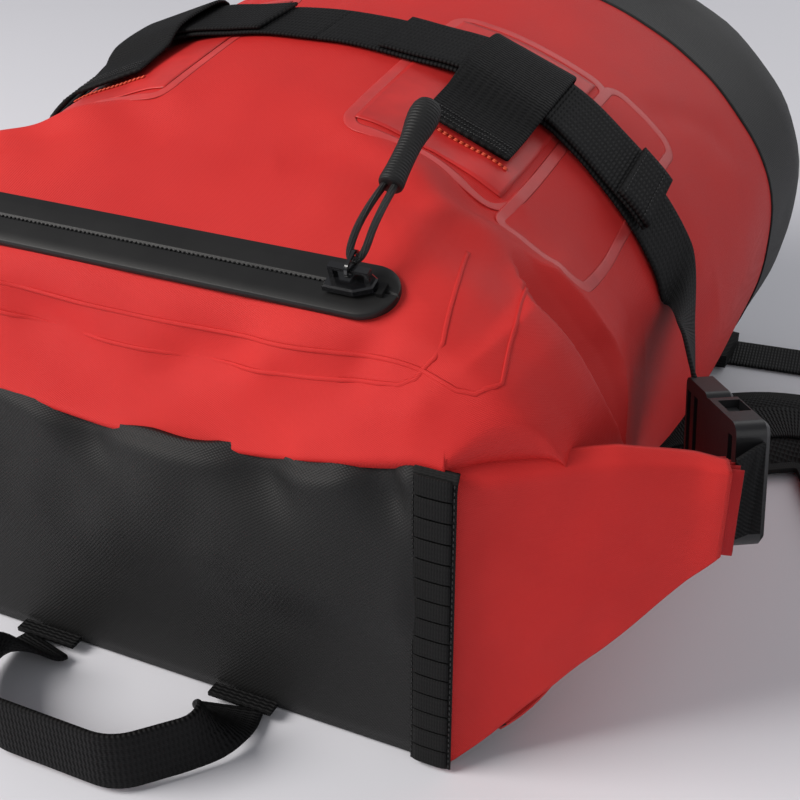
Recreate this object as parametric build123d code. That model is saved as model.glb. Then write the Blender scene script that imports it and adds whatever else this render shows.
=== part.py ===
"""Roll-top dry backpack, lying on its back with its mouth rolled shut.

Frame: millimetres, +Z up, origin on the floor under the middle of the padded back.
+X is the wearer's left-right width, +Y runs from the rolled mouth to the foot of the bag.
Sections of the bag are taken across Y: a crown over the top, a quarter-ellipse down each side
and a flat base on the foam pads. Everything that lies on the bag reads its place from those sections.
"""

import math
import os

from build123d import *

# ---- bag body -------------------------------------------------------------------------------
BAG_LENGTH = 353.0
BAG_HALF_WIDTH = 149.5
BAG_TOP = 191.0
SIDE_HEIGHT = 88.0  # height of the widest line of a section
BASE_HALF_FLAT = 95.0
PAD_THICKNESS = 8.0
FABRIC_WALL = 2.0
RIM_WALLS = (7.0, 7.0, 4.0)  # wall measured straight down, where the panel falls steeply to the mouth
BOOT_LENGTH = 89.0  # black foot of the bag
FRONT_HALF_WIDTH = 118.0  # seam between the front and the side panels
BUCKLE_HOLLOW = 11.0  # how far the side is drawn in where the buckle lies

# ---- rolled mouth ---------------------------------------------------------------------------
WALL_PLATE = 2.0
WALL_HALF_WIDTH = 108.0  # black middle of the mouth, up to the ladder ribbons
WALL_TOP = 112.0
WALL_SAG = 16.0
WALL_FOOT = 3.0
ROLL_OVERHANG = 32.0  # how far the roll's end stands out past the bag's side
ROLL_SWEEP_BACK = 48.0
ROLL_HEIGHT = 30.0
ROLL_THICKNESS = 9.0
STIFFENER_HEIGHT = 24.0
STIFFENER_THICKNESS = 1.6
FIT_GAP = 0.3
WING_SETBACK = 1.6  # from the wall's edge to the wing's, behind the ribbon
RIBBON_WIDTH = 11.0
RIBBON_THICKNESS = 1.2
RUNG_PITCH = 7.0
RUNG_HEIGHT = 0.5

# ---- webbing --------------------------------------------------------------------------------
WEBBING_WIDTH = 30.0
WEBBING_THICKNESS = 1.5
LAYER_GAP = 0.35
PATCH_THICKNESS = 0.5
STRAP_FROM_MOUTH = 152.5  # middle of the compression strap
LOOP_X = 70.0
LOOP_LENGTH = 31.0  # sewn part, towards the mouth
PATCH_X = (32.0, 92.0)
PATCH_LENGTH = (61.0, 36.0)  # before and behind the strap's middle
TAIL_X = (26.0, 118.0)

# ---- zip ------------------------------------------------------------------------------------
ZIP_FROM_MOUTH = 22.5
ZIP_HEIGHT = 150.0
ZIP_SLOPE = 20.0  # degrees, the fall of the panel along the zip
ZIP_HALF_LENGTH = 86.0
ZIP_TAPE_WIDTH = 18.0
ZIP_TAPE_THICKNESS = 0.8
COIL_WIDTH = 3.0
COIL_HEIGHT = 0.7
SLIDER_LENGTH = 15.0
SLIDER_WIDTH = 10.0
SLIDER_HEIGHT = 2.2
SLIDER_X = 72.0
BRIDGE_GAP = 3.0
BRIDGE_BAR = 1.2
RING_WIRE = 1.0
RING_INNER_RADIUS = 1.7
RING_REACH = 5.8  # from the bridge's middle to the wire that the cord goes round
CORD_DIAMETER = 2.3
CORD_SPREAD = 5.2
CORD_LENGTH = 28.0
GRIP_LENGTH = 33.0
GRIP_NECK_RADIUS = 4.0
GRIP_BULB_RADIUS = 4.9
PULLER_RISE = 30.0  # degrees above level

# ---- side-release buckles -------------------------------------------------------------------
SOCKET_LENGTH = 29.0
SOCKET_THICKNESS = 11.0
BUCKLE_RIM = 5.0  # plastic beside the webbing, on each edge
CAVITY_DEPTH = 20.0
CAVITY_HEIGHT = 7.0
PLUG_LENGTH = 21.0
PLUG_THICKNESS = 9.0
SLOT_LENGTH = 3.4
BAR_LENGTH = 3.4
TONGUE_LENGTH = 18.0
PRONG_THICKNESS = 5.0
BUCKLE_HEIGHT = 94.0
BUCKLE_DIRECTION = (-0.51, 0.83, -0.20)

# ---- harness --------------------------------------------------------------------------------
SHOULDER_WIDTH = 64.0
SHOULDER_THICKNESS = 7.4
LADDER_WEBBING_WIDTH = 25.0
LADDER_WEBBING_THICKNESS = 1.6
HANDLE_HALF_SPAN = 40.0
HANDLE_REACH = 48.0
HANDLE_BAND_HEIGHT = 22.0
HANDLE_BAND_THICKNESS = 3.0
PAD_CORNER = 12.0

MOUTH_Y = -BAG_LENGTH / 2
FOOT_Y = BAG_LENGTH / 2
BORDER_Y = FOOT_Y - BOOT_LENGTH
STRAP_Y = MOUTH_Y + STRAP_FROM_MOUTH
ZIP_Y = MOUTH_Y + ZIP_FROM_MOUTH
ROLL_END_X = BAG_HALF_WIDTH + ROLL_OVERHANG
ROLL_END_Y = MOUTH_Y + ROLL_SWEEP_BACK
ROLL_Y = MOUTH_Y + WALL_PLATE + ROLL_THICKNESS / 2 + 1.0
ROLL_MIDDLE_Z = WALL_TOP - WALL_SAG - ROLL_HEIGHT / 2 - 1.0
ROLL_CORNER_Z = WALL_TOP - ROLL_HEIGHT / 2 - 2.0
PATCH_LOW = FIT_GAP + 0.1
LOOP_LOW = PATCH_LOW + PATCH_THICKNESS + LAYER_GAP
STRAP_LOW = LOOP_LOW + WEBBING_THICKNESS + LAYER_GAP
TAIL_LOW = STRAP_LOW + WEBBING_THICKNESS + LAYER_GAP
LOOP_HIGH = TAIL_LOW + WEBBING_THICKNESS + LAYER_GAP
STRAP_EDGES = (STRAP_Y - WEBBING_WIDTH / 2, STRAP_Y + WEBBING_WIDTH / 2)
WING_X = WALL_HALF_WIDTH + WING_SETBACK
WING_END_Y = ROLL_END_Y - ROLL_THICKNESS / 2 - WALL_PLATE - 1.0
WING_ANGLE = math.atan2(WING_END_Y - MOUTH_Y, ROLL_END_X - WING_X)

# A station is a section of the bag: y, half width, height of the widest line, top, half width of
# the flat crown, half width of the flat base, height of the base.
STATIONS = [
    (MOUTH_Y + WALL_PLATE + FIT_GAP, BAG_HALF_WIDTH, 58, WALL_TOP + 2, 100, 112, PAD_THICKNESS),
    (ZIP_Y - 8.5, BAG_HALF_WIDTH, 64, ZIP_HEIGHT - 3.5, 86, 109, PAD_THICKNESS),
    (ZIP_Y + 9.0, BAG_HALF_WIDTH - 1, 67, ZIP_HEIGHT + 3, 84, 108, PAD_THICKNESS),
    (MOUTH_Y + 66, BAG_HALF_WIDTH - 4, 72, BAG_TOP - 25, 45, 100, PAD_THICKNESS),
    (MOUTH_Y + 112, BAG_HALF_WIDTH - BUCKLE_HOLLOW, 76, BAG_TOP - 9, 10, BASE_HALF_FLAT, PAD_THICKNESS),
    (STRAP_Y + 34, BAG_HALF_WIDTH - 2, 80, BAG_TOP - 2, 4, BASE_HALF_FLAT, PAD_THICKNESS),
    (BORDER_Y, BAG_HALF_WIDTH, SIDE_HEIGHT, BAG_TOP, 4, BASE_HALF_FLAT, PAD_THICKNESS),
    (FOOT_Y - 48, BAG_HALF_WIDTH + 1, SIDE_HEIGHT + 1, BAG_TOP, 6, BASE_HALF_FLAT - 1, PAD_THICKNESS),
    (FOOT_Y - 16, BAG_HALF_WIDTH - 3, SIDE_HEIGHT + 1, BAG_TOP - 8, 14, BASE_HALF_FLAT - 7, PAD_THICKNESS),
    (FOOT_Y, BAG_HALF_WIDTH - 18, SIDE_HEIGHT, BAG_TOP - 30, 24, BASE_HALF_FLAT - 14, PAD_THICKNESS + 6),
]

SIDES = {"right": 1, "left": -1}


# ---- geometry helpers -----------------------------------------------------------------------
def station_at(y):
    """The section's values at any y, straight between the stations."""
    if y <= STATIONS[0][0]:
        return STATIONS[0][1:]
    for low, high in zip(STATIONS, STATIONS[1:]):
        if y <= high[0]:
            share = (y - low[0]) / (high[0] - low[0])
            return tuple(a + (b - a) * share for a, b in zip(low[1:], high[1:]))
    return STATIONS[-1][1:]


def crown(angle, y, offset=0.0):
    """Point offset above the upper surface; angle 0 is the edge of the flat crown, 90 the widest line."""
    half, side, top, flat, _, _ = station_at(y)
    across, up = half - flat, top - side
    s, c = math.sin(math.radians(angle)), math.cos(math.radians(angle))
    normal = Vector(s / across, 0, c / up).normalized()
    return Vector(flat + across * s, y, side + up * c) + normal * offset


def surface(x, y, offset=0.0):
    """Point on the upper surface above x (either side of the middle), standing off it by offset."""
    half, _, top, flat, _, _ = station_at(y)
    if abs(x) <= flat:
        return Vector(x, y, top + offset)
    angle = math.degrees(math.asin(min(1.0, (abs(x) - flat) / (half - flat))))
    point = crown(angle, y, offset)
    return Vector(math.copysign(point.X, x), point.Y, point.Z)


def section_face(station, inset=0.0, top_inset=0.0):
    """Closed outline of one section, shrunk by inset; the rim of the mouth sags in the middle."""
    y, half, side, top, flat, base, foot = station
    half, top, foot = half - inset, top - max(inset, top_inset), foot + inset
    plane = Plane(origin=(0, y, 0), x_dir=(1, 0, 0), z_dir=(0, -1, 0))
    rim = y < ZIP_Y - ZIP_TAPE_WIDTH / 2
    left, right = (-flat, top), (flat, top)
    lid = ThreePointArc(left, (0, top - WALL_SAG), right) if rim else Line(left, right)
    edges = [
        lid,
        EllipticalCenterArc((flat, side), half - flat, top - side, 0, arc_size=90),
        EllipticalCenterArc((base, side), half - base, side - foot, 270, arc_size=90),
        Line((base, foot), (-base, foot)),
        EllipticalCenterArc((-base, side), half - base, side - foot, 180, arc_size=90),
        EllipticalCenterArc((-flat, side), half - flat, top - side, 90, arc_size=90),
    ]
    return plane * make_face(edges)


def slab(x0, x1, y0, y1, z0, z1):
    """A box between two corners."""
    size = (x1 - x0, y1 - y0, z1 - z0)
    return Pos((x0 + x1) / 2, (y0 + y1) / 2, (z0 + z1) / 2) * Box(*size)


def mirrored(shape, side):
    """The shape as built on the right, or its mirror image for the left."""
    return shape if side > 0 else mirror(shape, Plane.YZ)


def skin_solid(low, high):
    """Closed solid between two grids of points, as flat triangles."""
    rows, columns = len(low), len(low[0])

    def triangles(a, b, c, d):
        return [Face(Wire.make_polygon([a, b, c])), Face(Wire.make_polygon([a, c, d]))]

    faces = []
    for i in range(rows - 1):
        for j in range(columns - 1):
            faces += triangles(high[i][j], high[i + 1][j], high[i + 1][j + 1], high[i][j + 1])
            faces += triangles(low[i][j], low[i][j + 1], low[i + 1][j + 1], low[i + 1][j])
    for i in range(rows - 1):
        faces += triangles(low[i][0], low[i + 1][0], high[i + 1][0], high[i][0])
        faces += triangles(low[i + 1][-1], low[i][-1], high[i][-1], high[i + 1][-1])
    for j in range(columns - 1):
        faces += triangles(low[0][j + 1], low[0][j], high[0][j], high[0][j + 1])
        faces += triangles(low[-1][j], low[-1][j + 1], high[-1][j + 1], high[-1][j])
    return Solid(Shell(faces))


def surface_sheet(xs, ys, low, high):
    """A thin solid that follows the upper surface, from low to high above it."""
    return skin_solid(
        [[surface(x, y, low) for x in xs] for y in ys],
        [[surface(x, y, high) for x in xs] for y in ys],
    )


def steps(start, end, count):
    """count + 1 even values from start to end."""
    return [start + (end - start) * i / count for i in range(count + 1)]


def with_folds(start, end):
    """start and end, with the y of every station between them."""
    return [start] + [s[0] for s in STATIONS if start < s[0] < end] + [end]


def flat_band(points, radius, width, thickness, base):
    """A band lying flat on its route: straight runs joined by arcs."""
    route = FilletPolyline(*[(x, y, base + thickness / 2) for x, y in points], radius=radius)
    start = Plane(origin=route @ 0, z_dir=route % 0, x_dir=(0, 0, 1))
    return sweep(start * Rectangle(thickness, width), path=route)


def standing_band(points, radius, height, thickness, base):
    """A band standing on its edge along its route."""
    route = FilletPolyline(*[(x, y, base + height / 2) for x, y in points], radius=radius)
    start = Plane(origin=route @ 0, z_dir=route % 0, x_dir=(0, 0, 1))
    return sweep(start * Rectangle(height, thickness), path=route)


def ribbon_through(frames, width, thickness):
    """A webbing band through frames of (middle, direction of its width, direction of its thickness)."""
    low, high = [], []
    for middle, across, out in frames:
        across, out = Vector(across).normalized() * (width / 2), Vector(out).normalized() * (thickness / 2)
        low.append([middle - across - out, middle + across - out])
        high.append([middle - across + out, middle + across + out])
    return skin_solid(low, high)


# ---- bag panels -----------------------------------------------------------------------------
def bag_solid(inset=0.0):
    """The whole bag as a solid, shrunk by inset; an inset one runs out through the mouth."""
    if not inset:
        return loft([section_face(s) for s in STATIONS], ruled=True)
    mouth = (STATIONS[0][0] - 1.0,) + STATIONS[0][1:]
    foot = (STATIONS[-1][0] - inset,) + STATIONS[-1][1:]
    stations = [mouth] + STATIONS[:-1] + [foot]
    falls = list(RIM_WALLS) + [inset] * (len(stations) - len(RIM_WALLS))
    return loft([section_face(s, inset, fall) for s, fall in zip(stations, falls)], ruled=True)


def bag_panels():
    """Front, sides, back and boot, cut from one shell at their seams."""
    shell = bag_solid() - bag_solid(FABRIC_WALL) - roll_bar(ROLL_HEIGHT + 1.5, ROLL_THICKNESS + 1.5)
    for side in SIDES.values():
        shell -= mirrored(wing_clearance(), side)
    wide, tall = BAG_HALF_WIDTH * 2, BAG_TOP * 2
    front = slab(-FRONT_HALF_WIDTH, FRONT_HALF_WIDTH, MOUTH_Y, BORDER_Y, SIDE_HEIGHT, tall)
    back = slab(-FRONT_HALF_WIDTH, FRONT_HALF_WIDTH, MOUTH_Y, BORDER_Y, 0, SIDE_HEIGHT)
    right = slab(FRONT_HALF_WIDTH, wide, MOUTH_Y, BORDER_Y, 0, tall)
    left = slab(-wide, -FRONT_HALF_WIDTH, MOUTH_Y, BORDER_Y, 0, tall)
    boot = slab(-wide, wide, BORDER_Y, FOOT_Y + 10, 0, tall)
    return {
        "front_panel": shell & front,
        "back_panel": shell & back,
        "side_panel_right": shell & right,
        "side_panel_left": shell & left,
        "bottom_boot": shell & boot,
    }


def back_pads():
    """Foam pads that the bag rests on: a spine pad and a lumbar pad."""
    lumbar_y = FOOT_Y - 112
    spine = slab(-34, 34, MOUTH_Y + 26, lumbar_y - 4, 0, PAD_THICKNESS)
    lumbar = slab(-84, 84, lumbar_y, FOOT_Y - 26, 0, PAD_THICKNESS)
    return {
        "back_pad_spine": fillet(spine.edges().filter_by(Axis.Z), PAD_CORNER),
        "back_pad_lumbar": fillet(lumbar.edges().filter_by(Axis.Z), PAD_CORNER),
    }


def pocket_liner():
    """The zipped pocket's pouch, hanging flat under the front panel."""
    xs = steps(-ZIP_HALF_LENGTH + 4, ZIP_HALF_LENGTH - 4, 8)
    ys = steps(ZIP_Y + 12, ZIP_Y + 104, 6)
    return {"pocket_liner": surface_sheet(xs, ys, -6.5, -4.5)}


# ---- rolled mouth ---------------------------------------------------------------------------
def wing_clearance():
    """Space in front of the right-hand wing's back face, which the bag is cut back to."""
    def back(x):
        return MOUTH_Y + (x - WING_X) * math.tan(WING_ANGLE) + WALL_PLATE / math.cos(WING_ANGLE) + FIT_GAP
    near, far = WING_X - 3, ROLL_END_X + 20
    front = MOUTH_Y - 80
    outline = Polyline((near, back(near)), (far, back(far)), (far, front), (near, front), close=True)
    return extrude(make_face(outline), BAG_TOP)


def collar_wing():
    """Flat corner of the right-hand side of the mouth, from the wall back to the end of the roll."""
    along = (math.cos(WING_ANGLE), math.sin(WING_ANGLE), 0)
    out = (math.sin(WING_ANGLE), -math.cos(WING_ANGLE), 0)
    plane = Plane(origin=(WING_X, MOUTH_Y, 0), x_dir=along, z_dir=out)
    tip = (ROLL_END_X - WING_X) / math.cos(WING_ANGLE)
    low, high = ROLL_CORNER_Z - 3 - ROLL_HEIGHT / 2 - 2, ROLL_CORNER_Z - 3 + ROLL_HEIGHT / 2 + 2
    outline = Polyline(
        (0, WALL_FOOT), (4, 0.5), (tip, low), (tip, high),
        (tip * 0.62, WALL_TOP + 3), (0, WALL_TOP + 1), close=True
    )
    return extrude(plane * make_face(outline), -WALL_PLATE)


def roll_bar(height, thickness, shift=0.0):
    """A bar along the roll: level across the mouth, rising to the corners and swept back to its ends."""
    stops = [
        (-ROLL_END_X, ROLL_END_Y, ROLL_CORNER_Z - 3),
        (-WALL_HALF_WIDTH, ROLL_Y, ROLL_CORNER_Z),
        (0, ROLL_Y, ROLL_MIDDLE_Z),
        (WALL_HALF_WIDTH, ROLL_Y, ROLL_CORNER_Z),
        (ROLL_END_X, ROLL_END_Y, ROLL_CORNER_Z - 3),
    ]
    sections = [
        Plane(origin=(x, y + shift, z), x_dir=(0, 1, 0), z_dir=(1, 0, 0)) * Rectangle(thickness, height)
        for x, y, z in stops
    ]
    return loft(sections, ruled=True)


def rolled_mouth():
    """Black wall, red wings, the roll's layers and the two stiffeners inside it."""
    face = make_face(
        [
            Line((-WALL_HALF_WIDTH, WALL_FOOT), (WALL_HALF_WIDTH, WALL_FOOT)),
            Line((WALL_HALF_WIDTH, WALL_FOOT), (WALL_HALF_WIDTH, WALL_TOP)),
            ThreePointArc(
                (WALL_HALF_WIDTH, WALL_TOP), (0, WALL_TOP - WALL_SAG), (-WALL_HALF_WIDTH, WALL_TOP)
            ),
            Line((-WALL_HALF_WIDTH, WALL_TOP), (-WALL_HALF_WIDTH, WALL_FOOT)),
        ]
    )
    upright = Plane(origin=(0, MOUTH_Y + WALL_PLATE, 0), x_dir=(1, 0, 0), z_dir=(0, -1, 0))
    made = {"collar_wall": extrude(upright * face, WALL_PLATE)}
    core = roll_bar(ROLL_HEIGHT, ROLL_THICKNESS)
    slot_thickness = 2 * STIFFENER_THICKNESS + 2 * FIT_GAP
    made["roll_core"] = core - roll_bar(STIFFENER_HEIGHT + 2 * FIT_GAP, slot_thickness)
    for name, way in (("stiffener_front", -1), ("stiffener_back", 1)):
        shift = way * STIFFENER_THICKNESS / 2
        made[name] = roll_bar(STIFFENER_HEIGHT, STIFFENER_THICKNESS, shift)
    wing = collar_wing()
    for word, side in SIDES.items():
        made[f"collar_wing_{word}"] = mirrored(wing, side)
    return made


def ladder_ribbons():
    """Ribbon over each seam of the mouth's wall, with a rung stitched across at every pitch."""
    made = {}
    for word, side in SIDES.items():
        middle = side * WALL_HALF_WIDTH
        low, high = WALL_FOOT + 1, WALL_TOP - 2
        x0, x1 = middle - RIBBON_WIDTH / 2, middle + RIBBON_WIDTH / 2
        ribbon = slab(x0, x1, MOUTH_Y - RIBBON_THICKNESS, MOUTH_Y, low, high)
        front = MOUTH_Y - RIBBON_THICKNESS
        for i in range(1, int((high - low) / RUNG_PITCH) + 1):
            z = low + i * RUNG_PITCH - RUNG_PITCH / 2
            ribbon += slab(x0 + 0.5, x1 - 0.5, front - RUNG_HEIGHT, front, z - 0.5, z + 0.5)
        made[f"ladder_ribbon_{word}"] = ribbon
    return made


# ---- compression strap ----------------------------------------------------------------------
def strap_rows():
    """Edge points of the strap's lower and upper faces, from the middle of the bag to the right-hand plug."""
    low, high = [], []
    for angle in steps(0, 66, 22):
        low.append([crown(angle, y, STRAP_LOW) for y in STRAP_EDGES])
        high.append([crown(angle, y, STRAP_LOW + WEBBING_THICKNESS) for y in STRAP_EDGES])
    mouth, along, out, up = buckle_plane(1)
    end = mouth + along * (PLUG_LENGTH + 1.2)
    lead = end + along * 12 + out * 1.5
    last = (low[-1][0] + low[-1][1]) * 0.5
    normal = (high[-1][0] - low[-1][0]).normalized()
    stops = []
    for share in (0.3, 0.6, 0.85):
        swing = Vector(9.0 * math.sin(math.pi * share), 0, 0)
        stops.append((last + (lead - last) * share + swing, share))
    stops += [(lead, 1.0), (end, 1.0)]
    for middle, share in stops:
        across = (Vector(0, 1, 0) * (1 - share) + up * share * 1.2).normalized() * (WEBBING_WIDTH / 2)
        rise = (normal * (1 - share) + out * share).normalized() * WEBBING_THICKNESS
        low.append([middle - across, middle + across])
        high.append([middle - across + rise, middle + across + rise])
    return low, high


def buckle_axis(side):
    """Unit vector along a buckle, from its socket to its plug."""
    x, y, z = BUCKLE_DIRECTION
    return Vector(side * x, y, z).normalized()


def buckle_plane(side):
    """A buckle's frame at its mouth: x to the plug, y out from the bag, z along its width."""
    along = buckle_axis(side)
    out = Vector(0, 0, 1).cross(along) * -side
    heel = Vector(side * (ROLL_END_X + 4.5), ROLL_END_Y + 9.0, BUCKLE_HEIGHT)
    mouth = heel + along * SOCKET_LENGTH
    return mouth, along, out.normalized(), along.cross(out.normalized())


def place_buckle(shape, side):
    """Moves a piece from the buckle's own frame to its place; the left one is a mirror image."""
    mouth, along, out, _ = buckle_plane(1)
    plane = Plane(origin=mouth, x_dir=along, z_dir=along.cross(out))
    return mirrored(plane * shape, side)


def flipped(row):
    """A row of points in mirror image."""
    return [Vector(-p.X, p.Y, p.Z) for p in row]


def compression_strap():
    """One strap over the bag and down both sides, its loose tails, and its loops and patches."""
    low, high = strap_rows()
    rows = [[flipped(row) for row in reversed(side)] + side for side in (low, high)]
    made = {"compression_strap": skin_solid(*rows)}
    for word, side in SIDES.items():
        xs = [side * x for x in steps(*TAIL_X, 20)]
        made[f"strap_tail_{word}"] = surface_sheet(xs, STRAP_EDGES, TAIL_LOW, TAIL_LOW + WEBBING_THICKNESS)
        xs = [side * x for x in steps(*PATCH_X, 14)]
        ys = with_folds(STRAP_Y - PATCH_LENGTH[0], STRAP_Y + PATCH_LENGTH[1])
        made[f"loop_patch_{word}"] = surface_sheet(xs, ys, PATCH_LOW, PATCH_LOW + PATCH_THICKNESS)
        made[f"strap_loop_{word}"] = strap_loop(side)
    return made


def strap_loop(side):
    """A tab of webbing folded over the strap and its tail, and sewn down towards the mouth."""
    xs = [side * x for x in steps(LOOP_X - WEBBING_WIDTH / 2, LOOP_X + WEBBING_WIDTH / 2, 6)]
    sewn, clear = STRAP_EDGES[0] - LOOP_LENGTH, STRAP_EDGES[0] - 1.0
    bend, fold = STRAP_EDGES[1] + 0.8, STRAP_EDGES[1] + 0.8 + WEBBING_THICKNESS
    lower, upper = LOOP_LOW, LOOP_LOW + WEBBING_THICKNESS
    flat = with_folds(sewn, clear)
    rows = [(y, lower, y, upper) for y in flat]
    rows += [(fold, lower, bend, upper), (fold, LOOP_HIGH + WEBBING_THICKNESS, bend, LOOP_HIGH)]
    rows += [(clear, LOOP_HIGH + WEBBING_THICKNESS, clear, LOOP_HIGH)]
    top, under = upper + LAYER_GAP + WEBBING_THICKNESS, upper + LAYER_GAP
    rows += [(y, top, y, under) for y in reversed(with_folds(sewn, clear - 8.0))]
    outer = [[surface(x, y, h) for x in xs] for y, h, _, _ in rows]
    inner = [[surface(x, y, h) for x in xs] for _, _, y, h in rows]
    return skin_solid(inner, outer)


# ---- side-release buckles -------------------------------------------------------------------
def buckle_pieces():
    """Socket, plug and two prongs of a buckle, in its own frame, and the tab that ties it to the roll."""
    half = WEBBING_WIDTH / 2 + BUCKLE_RIM
    slot_half = WEBBING_WIDTH / 2 + 0.5
    cavity_half = half - 4
    t, p = SOCKET_THICKNESS / 2, PLUG_THICKNESS / 2
    socket = slab(-SOCKET_LENGTH, 0, -t, t, -half, half)
    socket = fillet(socket.edges().filter_by(Axis.Y), 4.0)
    socket = chamfer(socket.faces().sort_by(Axis.Y)[-1].edges(), 1.6)
    socket -= slab(-CAVITY_DEPTH, 1, -CAVITY_HEIGHT / 2, CAVITY_HEIGHT / 2, -cavity_half, cavity_half)
    window = (-CAVITY_DEPTH + 3.5, -6.0)
    for way in (1, -1):
        z0, z1 = sorted((way * (cavity_half - 1), way * (half + 1)))
        socket -= slab(window[0], window[1], -CAVITY_HEIGHT / 2, CAVITY_HEIGHT / 2, z0, z1)
    slot0 = -SOCKET_LENGTH + BAR_LENGTH
    socket -= slab(slot0, slot0 + SLOT_LENGTH, -t - 1, t + 1, -slot_half, slot_half)

    plug = slab(FIT_GAP, PLUG_LENGTH, -p, p, -half, half)
    plug = fillet(plug.edges().filter_by(Axis.Y), 3.0)
    plug = chamfer(plug.faces().sort_by(Axis.Y)[-1].edges(), 1.2)
    first = PLUG_LENGTH - 3 * BAR_LENGTH - 2 * SLOT_LENGTH + 2.0
    for i in range(2):
        x0 = first + i * (SLOT_LENGTH + BAR_LENGTH) + BAR_LENGTH
        plug -= slab(x0, x0 + SLOT_LENGTH, -p - 1, p + 1, -slot_half, slot_half)
    tongue = CAVITY_HEIGHT / 2 - FIT_GAP - 0.4
    plug += slab(-TONGUE_LENGTH, FIT_GAP + 1, -tongue, tongue, -3, 3)

    root_z = cavity_half - 5.5
    blade = PRONG_THICKNESS / 2
    barb = cavity_half + 1.6
    outline = Polyline(
        (-FIT_GAP, root_z - 2),
        (-FIT_GAP, root_z + 2),
        (window[1] - 0.4, cavity_half - 0.8),
        (window[1] - 0.4, barb),
        (window[0] + 3.0, barb),
        (window[0] + 0.4, cavity_half - 1.5),
        (-TONGUE_LENGTH, root_z + 0.5),
        (-TONGUE_LENGTH, root_z - 3),
        close=True,
    )
    face = Plane(origin=(0, blade, 0), x_dir=(1, 0, 0), z_dir=(0, -1, 0)) * make_face(outline)
    prong = extrude(face, PRONG_THICKNESS)
    return socket, plug, prong, root_z


def buckles():
    """Both buckles, each with its webbing tab out of the roll's end."""
    socket, plug, prong, _ = buckle_pieces()
    made = {}
    for word, side in SIDES.items():
        made[f"buckle_socket_{word}"] = place_buckle(socket, side)
        made[f"buckle_plug_{word}"] = place_buckle(plug, side)
        made[f"prong_upper_{word}"] = place_buckle(mirror(prong, Plane.XY), side)
        made[f"prong_lower_{word}"] = place_buckle(prong, side)
        made[f"roll_tab_{word}"] = mirrored(roll_tab(), side)
    return made


def roll_tab():
    """Webbing from the end of the roll to the socket's bar."""
    mouth, along, out, up = buckle_plane(1)
    bar = mouth - along * (SOCKET_LENGTH + FIT_GAP + WEBBING_THICKNESS / 2)
    slope = Vector(math.cos(WING_ANGLE), math.sin(WING_ANGLE), 0)
    level = Vector(0, 0, 1)
    root = Vector(ROLL_END_X + 2 * FIT_GAP, ROLL_END_Y - 1.0, BUCKLE_HEIGHT)
    frames = [
        (root, level, level.cross(slope)),
        (bar - along * 1.2 - out * 0.5, level - up, level.cross(slope) + along),
        (bar + out * 3.0, up * -1, along),
    ]
    return ribbon_through(frames, WEBBING_WIDTH - 1, WEBBING_THICKNESS)


# ---- zip ------------------------------------------------------------------------------------
def zip_plane():
    """Frame at the zip's middle: x along it, y up the slope, z out of the panel."""
    slope = math.radians(ZIP_SLOPE)
    normal = (0, -math.sin(slope), math.cos(slope))
    return Plane(origin=(0, ZIP_Y, ZIP_HEIGHT + 1.6), x_dir=(1, 0, 0), z_dir=normal)


def zip_pieces():
    """Welded tape with round ends, the coil down its middle, an end stop at each end, and the slider."""
    plane = zip_plane()
    tape = extrude(SlotOverall(2 * ZIP_HALF_LENGTH, ZIP_TAPE_WIDTH), ZIP_TAPE_THICKNESS)
    run = ZIP_HALF_LENGTH - 6
    half_coil = COIL_WIDTH / 2
    coil = slab(-run, run, -half_coil, half_coil, ZIP_TAPE_THICKNESS, ZIP_TAPE_THICKNESS + COIL_HEIGHT)
    low = ZIP_TAPE_THICKNESS
    stops = slab(run + 0.2, run + 2.2, -2.4, 2.4, low, low + 1.4)
    stops += slab(-run - 2.2, -run - 0.2, -2.4, 2.4, low, low + 1.4)
    made = {"zip_tape": tape, "zip_coil": coil, "zip_stops": stops}
    made = {name: plane * shape for name, shape in made.items()}
    made.update({name: plane * Pos(SLIDER_X, 0, 0) * shape for name, shape in slider_pieces().items()})
    made.update(puller_pieces())
    return made


def slider_pieces():
    """Slider body: a wedge-nosed shell over the coil, with a bridge on top that holds the ring."""
    base = ZIP_TAPE_THICKNESS + COIL_HEIGHT + FIT_GAP
    half, width = SLIDER_LENGTH / 2, SLIDER_WIDTH / 2
    outline = Polyline(
        (-half, -width), (half - 5, -width), (half, -width + 3),
        (half, width - 3), (half - 5, width), (-half, width),
        close=True,
    )
    body = Pos(0, 0, base) * extrude(make_face(outline), SLIDER_HEIGHT)
    body = chamfer(body.faces().sort_by(Axis.Z)[-1].edges(), 0.5)
    top = base + SLIDER_HEIGHT
    high = top + BRIDGE_GAP
    bridge = slab(-half + 0.8, half - 1.2, -1.2, 1.2, high, high + BRIDGE_BAR)
    bridge += slab(-half + 0.8, -half + 2.4, -1.2, 1.2, top - 0.2, high + BRIDGE_BAR)
    bridge += slab(half - 2.8, half - 1.2, -1.2, 1.2, top - 0.2, high + BRIDGE_BAR)
    return {"zip_slider": body + bridge}


def puller_frame():
    """The middle of the slider's bridge, and unit vectors along, across and out of the puller."""
    height = ZIP_TAPE_THICKNESS + COIL_HEIGHT + FIT_GAP + SLIDER_HEIGHT + BRIDGE_GAP + BRIDGE_BAR / 2
    hub = zip_plane().from_local_coords(Vector(SLIDER_X, 0, height))
    rise = math.radians(PULLER_RISE)
    along = Vector(0, math.cos(rise), math.sin(rise))
    across = Vector(1, 0, 0)
    return hub, along, across, across.cross(along)


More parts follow.
